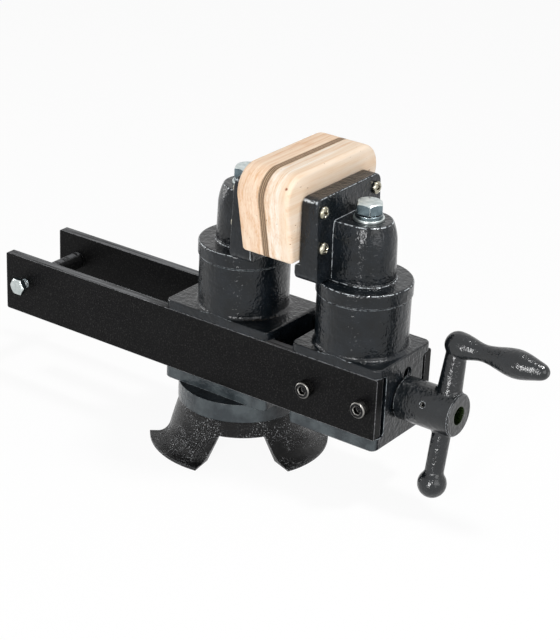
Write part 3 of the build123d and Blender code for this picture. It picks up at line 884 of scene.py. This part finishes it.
class Coat(Enum):
    """The finishes of the vise."""

    # Glossy, nearly black; the fillets at the feet of boss and ledge carry painted highlights, broken bright
    # lines.
    CASTING = BrushedEnamel("brushed_enamel_on_cast_iron", fillet_highlight_share=0.8)
    # Below the sill, the sides that face along Y are a paler grey.
    REAR_BLOCK = BrushedEnamel("brushed_enamel_on_rear_block", edge="858d91", sill=46.5)
    FRONT_BLOCK = BrushedEnamel("brushed_enamel_on_front_block", edge="a2a9ae", sill=46.5)
    # Handled every day: blacker and harder in its highlights than the blocks.
    CRANK = CrankEnamel(
        "brushed_enamel_on_crank", tone="0c1115", relief=1.1, lump_size=5.0, level=0.58, gloss=0.14,
    )
    BASE = RoughBlack("black_enamel_on_rough_casting")
    BAR = PowderCoat("textured_black_powder_coat")
    # Oxide on turned steel is nearly black and half matt; its rubbed rims show grey metal.
    BLACK_OXIDE = PlatedSteel(
        "black_oxide_on_turned_steel", tone="1f1f20", bloom="2b2b2c", rubbed="a9a7a2", roughness=0.34,
        relief=0.02, edge_width=0.5,
    )
    RUBBED_OXIDE = PlatedSteel(
        "rubbed_black_oxide", tone="8f8d89", bloom="6c6b68", rubbed="c4c2bd", roughness=0.3,
    )
    # Clear zinc: its sides are painted darker as a painted reflection of the dark castings, and its edges
    # nearly white as a painted highlight; the pressed face above is paler and blurred.
    ZINC = PlatedSteel(
        "clear_zinc_plate", tone="76858b", bloom="5c6a70", rubbed="f4f8f8", roughness=0.2, edge_width=0.7,
    )
    ZINC_FACE = PlatedSteel(
        "clear_zinc_plate_on_pressed_face", tone="cdd4d3", bloom="b4bdbc", rubbed="f2f6f6",
    )
    # Yellow passivated zinc is warm and mirror-bright; its cross recess is painted dark as painted shade.
    YELLOW_ZINC = PlatedSteel(
        "yellow_zinc_plate", tone="b8b4a4", bloom="948f7c", rubbed="ece9de", roughness=0.18,
    )
    RECESS = PlatedSteel(
        "painted_shade_in_cross_recess", tone="3a3223", bloom="221d14", rubbed="8f845f", roughness=0.45,
    )
    # Machined metal under a film of oil: plain, with a soft sheen.
    STEEL = PlatedSteel("turned_bright_steel", tone="b9bcc0", bloom="a1a5aa", roughness=0.25)
    BRONZE = PlatedSteel("turned_bronze", tone="b08a4e", bloom="94713d", rubbed="c9a565", roughness=0.32)
    # Two boards of one wood: the rear one creamy, the front one paler with a step to warmer heartwood.
    REAR_WOOD = SawnMaple("sawn_maple_of_rear_pad", light="e6d1bb", dark="dbb99a")
    FRONT_WOOD = SawnMaple(
        "sawn_maple_of_front_pad", light="e9dfd3", dark="dfc6ab", heart="cfa27a", sapwood_end=70.2,
        knot_place=(75.3, -55.6, 232.8), knot_radius=1.4,
    )
    FACING = PressedBoard("pressed_board_facing")

    def material(self) -> bpy.types.Material:
        """The finish as a material, which is made once."""
        return bpy.data.materials.get(self.value.name) or self.value.material()


# Sub-assemblies


def make_piece(name: str, skin: Skin, body: str, slot: str, node: str, *coats: Coat) -> None:
    """Put a skin into a mesh object that rides on a body and stands for a CAD node.

    Args:
        name: Name of the piece.
        skin: Its closed surface, in millimetres.
        body: The CAD body that it rides on.
        slot: Not used.
        node: The CAD node that it stands for.
        coats: Its finishes, in the order of the skin's coats.
    """
    mesh = bpy.data.meshes.new(name)
    mesh.from_pydata((skin.points * MM).tolist(), [], skin.quads.tolist() + skin.triangles.tolist())
    mesh.polygons.foreach_set("use_smooth", np.ones(len(mesh.polygons), bool))
    mesh.set_sharp_from_angle(angle=PIECE_SHARP_ANGLE)
    corners = np.zeros(len(mesh.loops), np.int32)
    starts = np.zeros(len(mesh.polygons), np.int32)
    mesh.loops.foreach_get("vertex_index", corners)
    mesh.polygons.foreach_get("loop_start", starts)
    mesh.polygons.foreach_set("material_index", np.minimum.reduceat(skin.coats[corners], starts))
    piece = bpy.data.objects.new(name, mesh)
    bpy.context.scene.collection.objects.link(piece)
    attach(piece, body)
    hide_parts(node)
    for coat in coats:
        mesh.materials.append(coat.material())
    LOG.info("%s: %d faces on %s", name, len(mesh.polygons), body)


def wear(node: str, coat: Coat) -> bpy.types.Object:
    """Give a CAD node a finish in place of the one it came with.

    Args:
        node: Name of the CAD node.
        coat: The finish.

    Returns:
        The node's object.
    """
    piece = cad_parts[node]
    material = coat.material()
    if not piece.material_slots:
        piece.data.materials.append(material)
    for place in piece.material_slots:
        place.material = material
    LOG.info("%s wears %s", node, material.name)
    return piece


def smooth_group() -> Tree:
    """Geometry nodes that shade a mesh smooth and keep its sharp edges.

    Returns:
        The group, which is made once.
    """
    name = "smooth_by_angle"
    known = bpy.data.node_groups.get(name)
    if known:
        return known
    group = bpy.data.node_groups.new(name, "GeometryNodeTree")
    for way in ("INPUT", "OUTPUT"):
        group.interface.new_socket("Geometry", in_out=way, socket_type="NodeSocketGeometry")
    soft = add(group, Node.SMOOTH_FACES, add(group, Node.MESH_IN), True, True)
    sharp = add(group, Node.ABOVE, add(group, Node.EDGE_ANGLE), CAD_SHARP_ANGLE)
    add(group, Node.MESH_OUT, add(group, Node.SMOOTH_EDGES, soft, sharp, False))
    return group


def soften(piece: bpy.types.Object, bevel: float = 0.0) -> None:
    """Weld a CAD node's loose triangles at 0.002 mm, round its sharp edges, and shade it smooth.

    Args:
        piece: The node's object.
        bevel: Width of the rounding in millimetres, or 0 for none.
    """
    weld = piece.modifiers.new("weld", "WELD")
    weld.merge_threshold = 0.002 * MM
    if bevel:
        round_off = piece.modifiers.new("round_off", "BEVEL")
        round_off.width = bevel * MM
        round_off.segments = 3
        round_off.limit_method = "ANGLE"
        round_off.angle_limit = math.radians(40)
    smooth = piece.modifiers.new("smooth", "NODES")
    smooth.node_group = smooth_group()
    weighted = piece.modifiers.new("weighted", "WEIGHTED_NORMAL")
    weighted.keep_sharp = True


@dataclass
class Castings:
    """The castings, bars and turned parts whose shapes come from the frame."""

    bars: tuple[str, ...] = ("near_bar", "far_bar")
    bar_rounding: float = 0.7

    def build(self) -> None:
        """Dress every casting, bar and turned part that stays as the frame has it."""
        for coat, nodes in (
            (Coat.REAR_BLOCK, ("rear_block",)),
            (Coat.FRONT_BLOCK, ("front_block",)),
            (Coat.CASTING, ("rear_jaw", "front_jaw")),
            (Coat.CRANK, ("crank",)),
            (Coat.BASE, ("swivel_base",)),
            (Coat.BAR, (*self.bars, "stop_rod")),
            (Coat.BRONZE, ("lead_nut",)),
            (Coat.BLACK_OXIDE, ("inner_thrust_washer", "outer_thrust_washer", "pivot_circlip", "roll_pin")),
            (Coat.STEEL, ("pivot_washer",)),
        ):
            for node in nodes:
                soften(wear(node, coat), self.bar_rounding if node in self.bars else 0.0)


@dataclass
class Pads:
    """The wood pads with their facings: one outline, wider at the top, carried along X."""

    shoulder: float = 20.0
    foot_corner: float = 4.0
    foot_half_width: float = 49.5
    back_rounding: float = 3.6
    front_rounding: float = 0.5
    facing_rounding: float = 0.35

    def outline(self, low: np.ndarray, high: np.ndarray, inset: float) -> np.ndarray:
        """Points (y, z) of the pad's outline, drawn in by an inset.

        Each corner of the trapezoid is an arc about a centre that lies its radius inside both sides;
        the inset shortens the radius and leaves the centre, down to a sharp corner.

        Args:
            low: Lowest corner of the pad.
            high: Highest corner of the pad.
            inset: Distance to draw the outline in by.

        Returns:
            The points, counter-clockwise seen from +X.
        """
        height = high[2] - low[2]
        lean = self.side_lean((high[1] - low[1]) / 2, height)
        tilt = -math.degrees(lean)
        right = []
        for radius, centre_z, start, end, count in (
            (self.foot_corner, self.foot_corner, -90.0, tilt, 7),
            (self.shoulder, height - self.shoulder, tilt, 90.0, 15),
        ):
            centre_y = self.foot_half_width + centre_z * math.tan(lean) - radius / math.cos(lean)
            angle = np.radians(np.linspace(start, end, count))
            reach = radius - inset
            y = centre_y + reach * np.cos(angle)
            z = low[2] + centre_z + reach * np.sin(angle)
            right.append(np.column_stack([y, z]))
        right = np.concatenate(right)
        return np.concatenate([right, right[::-1] * (-1, 1)])

    def side_lean(self, half_width: float, height: float) -> float:
        """Lean of the sides that makes the round shoulders reach half the width.

        The widest point of a shoulder is its arc's centre plus its radius; repeated steps, each of what
        is missing over about the height, bring it there.

        Args:
            half_width: Half the width of the pad at its shoulders.
            height: Height of the pad.

        Returns:
            The lean, in radians.
        """
        lean = 0.2
        for _ in range(20):
            centre = self.foot_half_width + (height - self.shoulder) * math.tan(lean)
            reach = centre - self.shoulder / math.cos(lean) + self.shoulder
            lean += (half_width - reach) / (height * 1.2)
        return lean

    def prism(self, low: np.ndarray, high: np.ndarray, back: float, front: float, flip: bool) -> Skin:
        """The outline carried along X, with rounded edges.

        The stations along X and their insets follow a quarter circle at each end: the inset is the
        rounding times one less the sine, at the rounding times one less the cosine from the end. The
        faces are closed by the outline shrunk towards its middle.

        Args:
            low: Lowest corner.
            high: Highest corner.
            back: Rounding of the edge at the back.
            front: Rounding of the edge at the front.
            flip: Whether the back is at high x.

        Returns:
            The closed skin.
        """
        bend = np.radians(np.linspace(0, 90, 7))
        along, inwards = 1 - np.cos(bend), 1 - np.sin(bend)
        stations = np.concatenate([back * along, high[0] - low[0] - front * along[::-1]])
        insets = np.concatenate([back * inwards, front * inwards[::-1]])
        outlines = [self.outline(low, high, inset) for inset in insets]
        middle = np.array([0, (low[2] + high[2]) / 2])
        shares = (0.25, 0.5, 0.75)
        levels = [(stations[0], middle + (outlines[0] - middle) * s) for s in shares]
        levels += zip(stations, outlines)
        levels += [(stations[-1], middle + (outlines[-1] - middle) * s) for s in shares[::-1]]
        rings = []
        for x, ring in levels:
            place = high[0] - x if flip else low[0] + x
            rings.append(np.column_stack([np.full(len(ring), place), ring]))
        return closed_tube(np.stack(rings))

    def build(self) -> None:
        """Make both pads and both facings over the frame's plain ones."""
        for group, wood, flip in (("rear", Coat.REAR_WOOD, False), ("front", Coat.FRONT_WOOD, True)):
            body = f"{group}_jaw_group"
            thin = self.facing_rounding
            for name, slot, node, back, front, coat in (
                ("maple_pad", "pad_wood", "wood_pad", self.back_rounding, self.front_rounding, wood),
                ("pad_facing", "pad_facing", "pad_lining", thin, thin, Coat.FACING),
            ):
                low, high = millimetres(f"{group}_{node}")
                skin = self.prism(low, high, back, front, flip)
                make_piece(f"{group}_{name}", skin, body, slot, f"{group}_{node}", coat)


@dataclass
class PadScrews:
    """Pan head cross-recess screws that hold the wood pads."""

    head_radius: float = 4.9
    head_height: float = 3.0
    rim_height: float = 1.1
    rim_edge: float = 0.15
    crown_power: float = 2.4
    recess_reach: float = 3.1
    recess_width: float = 1.5
    recess_depth: float = 2.0
    recess_wall: float = 0.16
    recess_end: float = 0.3
    shank: float = 12.0
    shank_radius: float = 2.4
    plate_lean: float = 2.5
    turns: tuple[float, ...] = (20.0, 63.0, 41.0, 8.0)

    def head(self, turn: float) -> Skin:
        """A screw head above local Z 0 with its shank below.

        The crown is an ellipse of revolution over the rim. The recess is a smooth step of the distance
        to a cross of two bars, which narrows from 1.25 to 0.8 of its width towards its ends, sunk below
        the crown by its depth in the middle and by a quarter of it at the ends. It wears the second coat.

        Args:
            turn: Turn of the cross, in degrees.

        Returns:
            The closed skin.
        """
        radius = np.linspace(self.head_radius * 0.985, 0.12, 34)
        dome = np.sqrt(np.clip(1 - (radius / self.head_radius) ** self.crown_power, 0, 1))
        crown = self.rim_height + (self.head_height - self.rim_height) * dome
        below = [
            (self.shank_radius, -self.shank),
            (self.shank_radius, 0),
            (self.head_radius - self.rim_edge, 0),
            (self.head_radius, self.rim_edge),
            (self.head_radius, self.rim_height),
        ]
        rings = turned([*below, *zip(radius, crown)], around(96))
        x, y = rings[..., 0], rings[..., 1]
        spin = math.radians(turn)
        u = np.abs(x * math.cos(spin) + y * math.sin(spin))
        v = np.abs(-x * math.sin(spin) + y * math.cos(spin))
        along, across = np.maximum(u, v), np.minimum(u, v)
        share = along / self.recess_reach
        half = self.recess_width / 2 * (1.25 - 0.45 * share)
        step = np.clip((half - across) / self.recess_wall + 0.5, 0, 1)
        step *= np.clip((self.recess_reach - along) / self.recess_end, 0, 1)
        sunk = step * self.recess_depth * np.clip(1.25 - share, 0.25, 1)
        sunk[: len(below)] = 0
        rings[..., 2] -= sunk
        # Faces sunk in the recess wear the second coat, painted shade.
        return closed_tube(rings, (sunk > 0.25 * self.recess_depth).astype(int))

    def build(self) -> None:
        """Four screws in each plate, at the heights and seats that the frame's screws have."""
        for group, facing, sign in (("rear", Facing.LEFT, -1), ("front", Facing.RIGHT, 1)):
            node = f"{group}_pad_screws"
            low, high = millimetres(node)
            outermost = low[0] if sign < 0 else high[0]
            rows = (low[2] + self.head_radius, high[2] - self.head_radius)
            columns = (low[1] + self.head_radius, high[1] - self.head_radius)
            lean = (rows[1] - rows[0]) * math.tan(math.radians(self.plate_lean))
            heads = []
            for turn, (y, row) in zip(self.turns, [(y, row) for y in columns for row in (0, 1)]):
                seat = outermost - sign * (self.head_height + row * lean)
                heads.append(self.head(turn).placed(facing, (seat, y, rows[row])))
            skin = reduce(Skin.joined, heads)
            make_piece(
                f"{group}_cross_screws", skin, f"{group}_jaw_group", "yellow_zinc", node,
                Coat.YELLOW_ZINC, Coat.RECESS,
            )


@dataclass
class JawBolts:
    """The bolts on which the jaws turn, with their flat and spring washers."""

    flats: float = 19.0
    head_height: float = 8.8
    shank_radius: float = 6.0
    washer_face_radius: float = 9.0
    washer_face_height: float = 0.5
    corner_cut: float = 0.5
    under_edge: float = 0.35
    chamfer: float = 30.0
    chamfer_drop: float = 0.25
    rim_inset: float = 0.18
    rim_drop: float = 0.05
    face_share: float = 0.93
    face_dish: float = 0.04
    shank_edge: float = 0.6
    washer_play: float = 0.3
    turns: tuple[float, float] = (-6.0, 5.0)

    def head(self, turn: float) -> Skin:
        """A hexagon head above height 0, turned about Z, whose pressed top wears the second coat.

        Each ring is the hexagon's radius limited to the chamfer cone's radius at its height; the top is
        flat inside that, and the last ring narrows to the middle.

        Args:
            turn: Turn of the head, in degrees.

        Returns:
            The closed skin.
        """
        angle = around(144)
        reach = hexagon_reach(angle, self.flats, 600)
        foot, top = self.washer_face_height, self.head_height
        face = self.flats / 2 * self.face_share
        cone = top - np.maximum(reach - face, 0) * math.tan(math.radians(self.chamfer))
        return turned_skin([
            (np.minimum(reach, self.washer_face_radius), 0, 0),
            (np.minimum(reach, self.washer_face_radius), foot, 0),
            (np.minimum(reach, reach.max() - self.corner_cut), foot, 0),
            (reach, foot + self.under_edge, 0),
            (reach, cone - self.chamfer_drop, 1),
            (np.maximum(reach - self.rim_inset, face), cone - self.rim_drop, 1),
            (face, top, 1),
            (face / 2, top - self.face_dish, 1),
        ], angle + math.radians(turn))

    def build(self) -> None:
        """Make both bolts and their washers over the nodes that the frame has."""
        for group, body, turn in zip(("rear", "front"), ("turntable", "carriage"), self.turns):
            node = f"{group}_jaw_bolt"
            low, high = millimetres(node)
            x = (low[0] + high[0]) / 2
            seat = high[2] - self.head_height
            radius, end = self.shank_radius, self.shank_edge
            profile = [(radius - end, low[2]), (radius, low[2] + end), (radius, seat)]
            shank = closed_tube(turned(profile, around(48))).placed(Facing.UP, (x, 0, 0))
            bolt = shank.joined(self.head(turn).placed(Facing.UP, (x, 0, seat)))
            make_piece(f"{group}_bolt_bright", bolt, body, "zinc_plate", node, Coat.ZINC, Coat.ZINC_FACE)
            self.washer(group, body, x)
            self.spring_washer(group, body, x)

    def washer(self, group: str, body: str, x: float) -> None:
        """A flat washer: a rectangle turned about the bolt, rounded above by an arc from top to side.

        Args:
            group: Rear or front.
            body: The CAD body that it rides on.
            x: Place of the bolt along X.
        """
        node = f"{group}_flat_washer"
        low, high = millimetres(node)
        inner, outer = self.shank_radius + self.washer_play, (high[0] - low[0]) / 2
        edge, burr = 0.5, 0.2
        bend = np.radians(np.linspace(90, 0, 5))
        profile = [
            (inner, low[2] + burr),
            (inner, high[2] - burr),
            (inner + burr, high[2]),
            *zip(outer - edge + edge * np.cos(bend), high[2] - edge + edge * np.sin(bend)),
            (outer, low[2] + burr / 2),
            (outer - burr / 2, low[2]),
        ]
        skin = closed_ring(turned(profile, around(72))).placed(Facing.UP, (x, 0, 0))
        make_piece(f"{group}_flat_washer_bright", skin, body, "zinc_plate", node, Coat.ZINC_FACE)

    def spring_washer(self, group: str, body: str, x: float) -> None:
        """A split spring washer: a rectangle carried once round, whose ends stand apart in height.

        The section's height rises evenly by a fifth of its thickness from one end to the other.

        Args:
            group: Rear or front.
            body: The CAD body that it rides on.
            x: Place of the bolt along X.
        """
        node = f"{group}_lock_washer"
        low, high = millimetres(node)
        inner, outer = self.shank_radius + self.washer_play, (high[0] - low[0]) / 2
        rise = (high[2] - low[2]) * 0.2
        thick = high[2] - low[2] - rise
        edge = 0.25
        r = np.array([inner, inner, inner + edge, outer - edge, outer, outer, outer - edge, inner + edge])
        z = np.array([edge, thick - edge, thick, thick, thick - edge, edge, 0, 0])
        split, gap = 200, 3.5
        angle = np.radians(np.linspace(split + gap, split + 360 - gap, 73))
        lift = np.linspace(0, rise, len(angle))[:, None]
        rings = np.stack([np.outer(np.cos(angle), r), np.outer(np.sin(angle), r), z + lift], axis=-1)
        skin = closed_tube(rings).placed(Facing.UP, (x, 0, low[2]))
        make_piece(f"{group}_spring_washer", skin, body, "zinc_plate", node, Coat.ZINC)


@dataclass
class BarScrews:
    """Socket cap screws that hold the bars to the front block."""

    head_radius: float = 6.5
    head_height: float = 8.0
    socket_flats: float = 6.0
    socket_depth: float = 4.0
    knurls: int = 44
    knurl_depth: float = 0.22
    shank: float = 20.0
    shank_radius: float = 4.0
    spacing: float = 50.0

    def screw(self) -> Skin:
        """A cap screw above local Z 0: knurled side, rounded rim, flat top and hexagon socket, with the
        second coat on the rims of the head and the socket.

        The side's radius falls by the knurl depth times a rectified cosine of the knurl count times the
        angle; the socket's rings take the hexagon's radius.

        Returns:
            The closed skin.
        """
        angle = around(self.knurls * 6)
        cut = self.knurl_depth * np.abs(np.cos(self.knurls * angle / 2)) ** 6
        socket = hexagon_reach(angle, self.socket_flats, 80)
        side, top, floor = self.head_radius, self.head_height, self.head_height - self.socket_depth
        return turned_skin([
            (self.shank_radius, -self.shank, 0),
            (self.shank_radius, 0, 0),
            (side - 0.5, 0, 0),
            (side - 0.12, 0.5, 0),
            (side - cut, 0.9, 0),
            (side - cut, top - 1.5, 0),
            (side - 0.1, top - 1.1, 1),
            (side - 0.25, top - 0.5, 1),
            (side - 0.9, top, 1),
            (side - 1.1, top, 0),
            (socket + 0.75, top, 0),
            (socket + 0.45, top, 1),
            (socket, top - 0.4, 1),
            (socket, floor, 0),
            (socket * 0.2, floor - 0.8, 0),
        ], angle)

    def build(self) -> None:
        """Two screws on each side, where the frame's screws are."""
        low, high = millimetres("bar_screws")
        x, _, z = (low + high) / 2
        seat = high[1] - self.head_height
        half = self.spacing / 2
        screws = [
            self.screw().placed(facing, (x + shift, side * seat, z))
            for facing, side in ((Facing.NEAR, -1), (Facing.FAR, 1)) for shift in (-half, half)
        ]
        make_piece(
            "socket_cap_screws", reduce(Skin.joined, screws), "carriage", "black_oxide", "bar_screws",
            Coat.BLACK_OXIDE, Coat.RUBBED_OXIDE,
        )


@dataclass
class StopBolts(JawBolts):
    """Hexagon bolts of the stop rod, with a threaded neck that shows between head and bar."""

    flats: float = 13.0
    head_height: float = 5.3
    shank_radius: float = 4.0
    washer_face_radius: float = 6.1
    washer_face_height: float = 0.35
    pitch: float = 1.25
    thread_depth: float = 0.75
    neck: float = 14.5

    def build(self) -> None:
        """One bolt on each side, where the frame's bolts are."""
        low, high = millimetres("stop_bolts")
        x, _, z = (low + high) / 2
        seat = high[1] - self.head_height
        thread = thread_rings(self.shank_radius, self.thread_depth, self.pitch, self.neck)
        thread[..., 2] -= self.neck
        bolt = closed_tube(thread).joined(self.head(0))
        skin = bolt.placed(Facing.NEAR, (x, -seat, z)).joined(bolt.placed(Facing.FAR, (x, seat, z)))
        make_piece(
            "stop_bolts_bright", skin, "carriage", "zinc_plate", "stop_bolts", Coat.ZINC, Coat.ZINC_FACE,
        )


@dataclass
class LeadScrew:
    """The lead screw: a trapezoidal thread, a plain journal and the end seen down the crank's bore."""

    pitch: float = 4.0
    depth: float = 2.2
    segments: int = 56
    per_pitch: int = 12
    journal_radius: float = 7.25
    shoulder: float = 69.0
    end_edge: float = 0.8
    centre_hole: float = 1.6

    def build(self) -> None:
        """Make the screw over the frame's one: thread up to the shoulder, then the journal."""
        low, high = millimetres("lead_screw")
        _, y, z = (low + high) / 2
        radius = (high[2] - low[2]) / 2
        length = self.shoulder - low[0]
        thread = closed_tube(
            thread_rings(radius, self.depth, self.pitch, length, self.segments, self.per_pitch)
        )
        end = high[0]
        journal = closed_tube(turned([
            (self.journal_radius, self.shoulder - 1.0),
            (self.journal_radius, end - self.end_edge),
            (self.journal_radius - self.end_edge, end),
            (self.centre_hole, end),
            (self.centre_hole - 0.2, end - 1.2),
        ], around(self.segments)))
        skin = thread.placed(Facing.RIGHT, (low[0], y, z)).joined(journal.placed(Facing.RIGHT, (0, y, z)))
        make_piece("lead_screw_threaded", skin, "screw", "bright_steel", "lead_screw", Coat.STEEL)


# Studio


@dataclass(frozen=True)
class SoftBox:
    """A rectangular lamp that faces a point; places and sizes in metres, power in watts."""

    name: str
    place: Point
    target: Point
    size: tuple[float, float]
    power: float

    def build(self) -> None:
        """Hang the lamp at its place and aim it."""
        data = bpy.data.lights.new(self.name, "AREA")
        data.shape = "RECTANGLE"
        data.size, data.size_y = self.size
        data.energy = self.power
        lamp = bpy.data.objects.new(self.name, data)
        aim = (Vector(self.target) - Vector(self.place)).to_track_quat("-Z", "Y")
        lamp.matrix_world = Matrix.Translation(self.place) @ aim.to_matrix().to_4x4()
        bpy.context.scene.collection.objects.link(lamp)
        LOG.info("lamp %s", self.name)


@dataclass
class Studio:
    """A pale floor, soft lights and the camera at the photograph's angle."""

    position: Point = (836.48, -1142.44, 739.60)
    yaw: float = 35.03
    pitch: float = 24.69
    roll: float = 2.46
    focal_pixels: float = 1976.8
    image_height: int = 640
    sensor: float = 36.0
    clip_end: float = 100.0
    floor_reach: float = 30.0
    floor_gap: float = 0.0002
    floor_tone: str = "f4f4f4"
    floor_white: float = 0.93
    white: str = "ffffff"
    ambient: float = 0.2
    lamps: tuple[SoftBox, ...] = (
        SoftBox("key", (0.42, -1.36, 0.44), (0.05, 0.0, 0.3), (0.2, 0.85), 13.5),
        SoftBox("top", (0.6, 0.2, 1.5), (0.05, 0.0, 0.1), (0.2, 0.2), 14.5),
        SoftBox("side", (-1.45, -0.3, 0.5), (0.05, 0.0, 0.45), (0.2, 1.0), 6),
        SoftBox("fill", (1.4, -0.45, 0.5), (0.05, 0.0, 0.1), (0.9, 0.9), 5.5),
    )

    def camera(self) -> None:
        """Set the camera: forward from yaw and pitch, then right and up turned by the roll."""
        yaw, pitch, roll = (math.radians(v) for v in (self.yaw, self.pitch, self.roll))
        ahead = math.cos(pitch)
        forward = np.array([-math.sin(yaw) * ahead, math.cos(yaw) * ahead, -math.sin(pitch)])
        level = np.array([math.cos(yaw), math.sin(yaw), 0])
        above = np.cross(level, forward)
        right = math.cos(roll) * level + math.sin(roll) * above
        up = -math.sin(roll) * level + math.cos(roll) * above
        data = bpy.data.cameras.new("camera")
        data.sensor_fit = "VERTICAL"
        data.sensor_height = self.sensor
        data.lens = self.focal_pixels / self.image_height * self.sensor
        data.clip_end = self.clip_end
        camera = bpy.data.objects.new("camera", data)
        turn = Matrix(np.column_stack([right, up, -forward]).tolist()).to_4x4()
        turn.translation = [v * MM for v in self.position]
        camera.matrix_world = turn
        bpy.context.scene.collection.objects.link(camera)
        bpy.context.scene.camera = camera

    def floor(self) -> None:
        """A wide pale floor that keeps the shadow and reads as white, just below the feet."""
        low, _ = CAD_BOX
        z = low[2] - self.floor_gap
        r = self.floor_reach
        mesh = bpy.data.meshes.new("floor")
        mesh.from_pydata([(-r, -r, z), (r, -r, z), (r, r, z), (-r, r, z)], [], [(0, 1, 2, 3)])
        floor = bpy.data.objects.new("floor", mesh)
        bpy.context.scene.collection.objects.link(floor)
        material = bpy.data.materials.new("studio_floor")
        material.use_nodes = True
        tree = material.node_tree
        tree.nodes.clear()
        lit = add(tree, Node.DIFFUSE, self.floor_tone)
        bright = add(tree, Node.EMISSION, self.white, 1.0)
        share = add(tree, Node.PRODUCT, self.seen(tree), self.floor_white)
        add(tree, Node.MATERIAL, add(tree, Node.EITHER_SHADER, share, lit, bright))
        mesh.materials.append(material)

    def seen(self, tree: Tree) -> Socket:
        """1 on rays from the camera, a mirror or through glass, and 0 on rays that light the object."""
        direct = add(tree, Node.CAPPED_SUM, add(tree, Node.CAMERA_RAY), add(tree, Node.GLOSSY_RAY))
        return add(tree, Node.CAPPED_SUM, direct, add(tree, Node.TRANSMISSION_RAY))

    def world(self) -> None:
        """A plain world: grey light on the object, white where the camera and mirrors see it."""
        world = bpy.data.worlds.new("studio")
        world.use_nodes = True
        tree = world.node_tree
        tree.nodes.clear()
        strength = add(tree, Node.RAMP, self.seen(tree), 0.0, 1.0, self.ambient, 1.0)
        add(tree, Node.WORLD, add(tree, Node.BACKGROUND, self.white, strength))
        bpy.context.scene.world = world

    def build(self) -> None:
        """Camera first, then floor, world and lights."""
        self.camera()
        self.floor()
        self.world()
        for lamp in self.lamps:
            lamp.build()
        bpy.context.scene.view_settings.view_transform = "Standard"


def main() -> None:
    """Build the studio and every sub-assembly."""
    logging.basicConfig(level=logging.INFO, format="%(name)s %(message)s")
    for part in (Studio, Castings, Pads, PadScrews, JawBolts, BarScrews, StopBolts, LeadScrew):
        part().build()


if __name__ == "__main__":
    main()
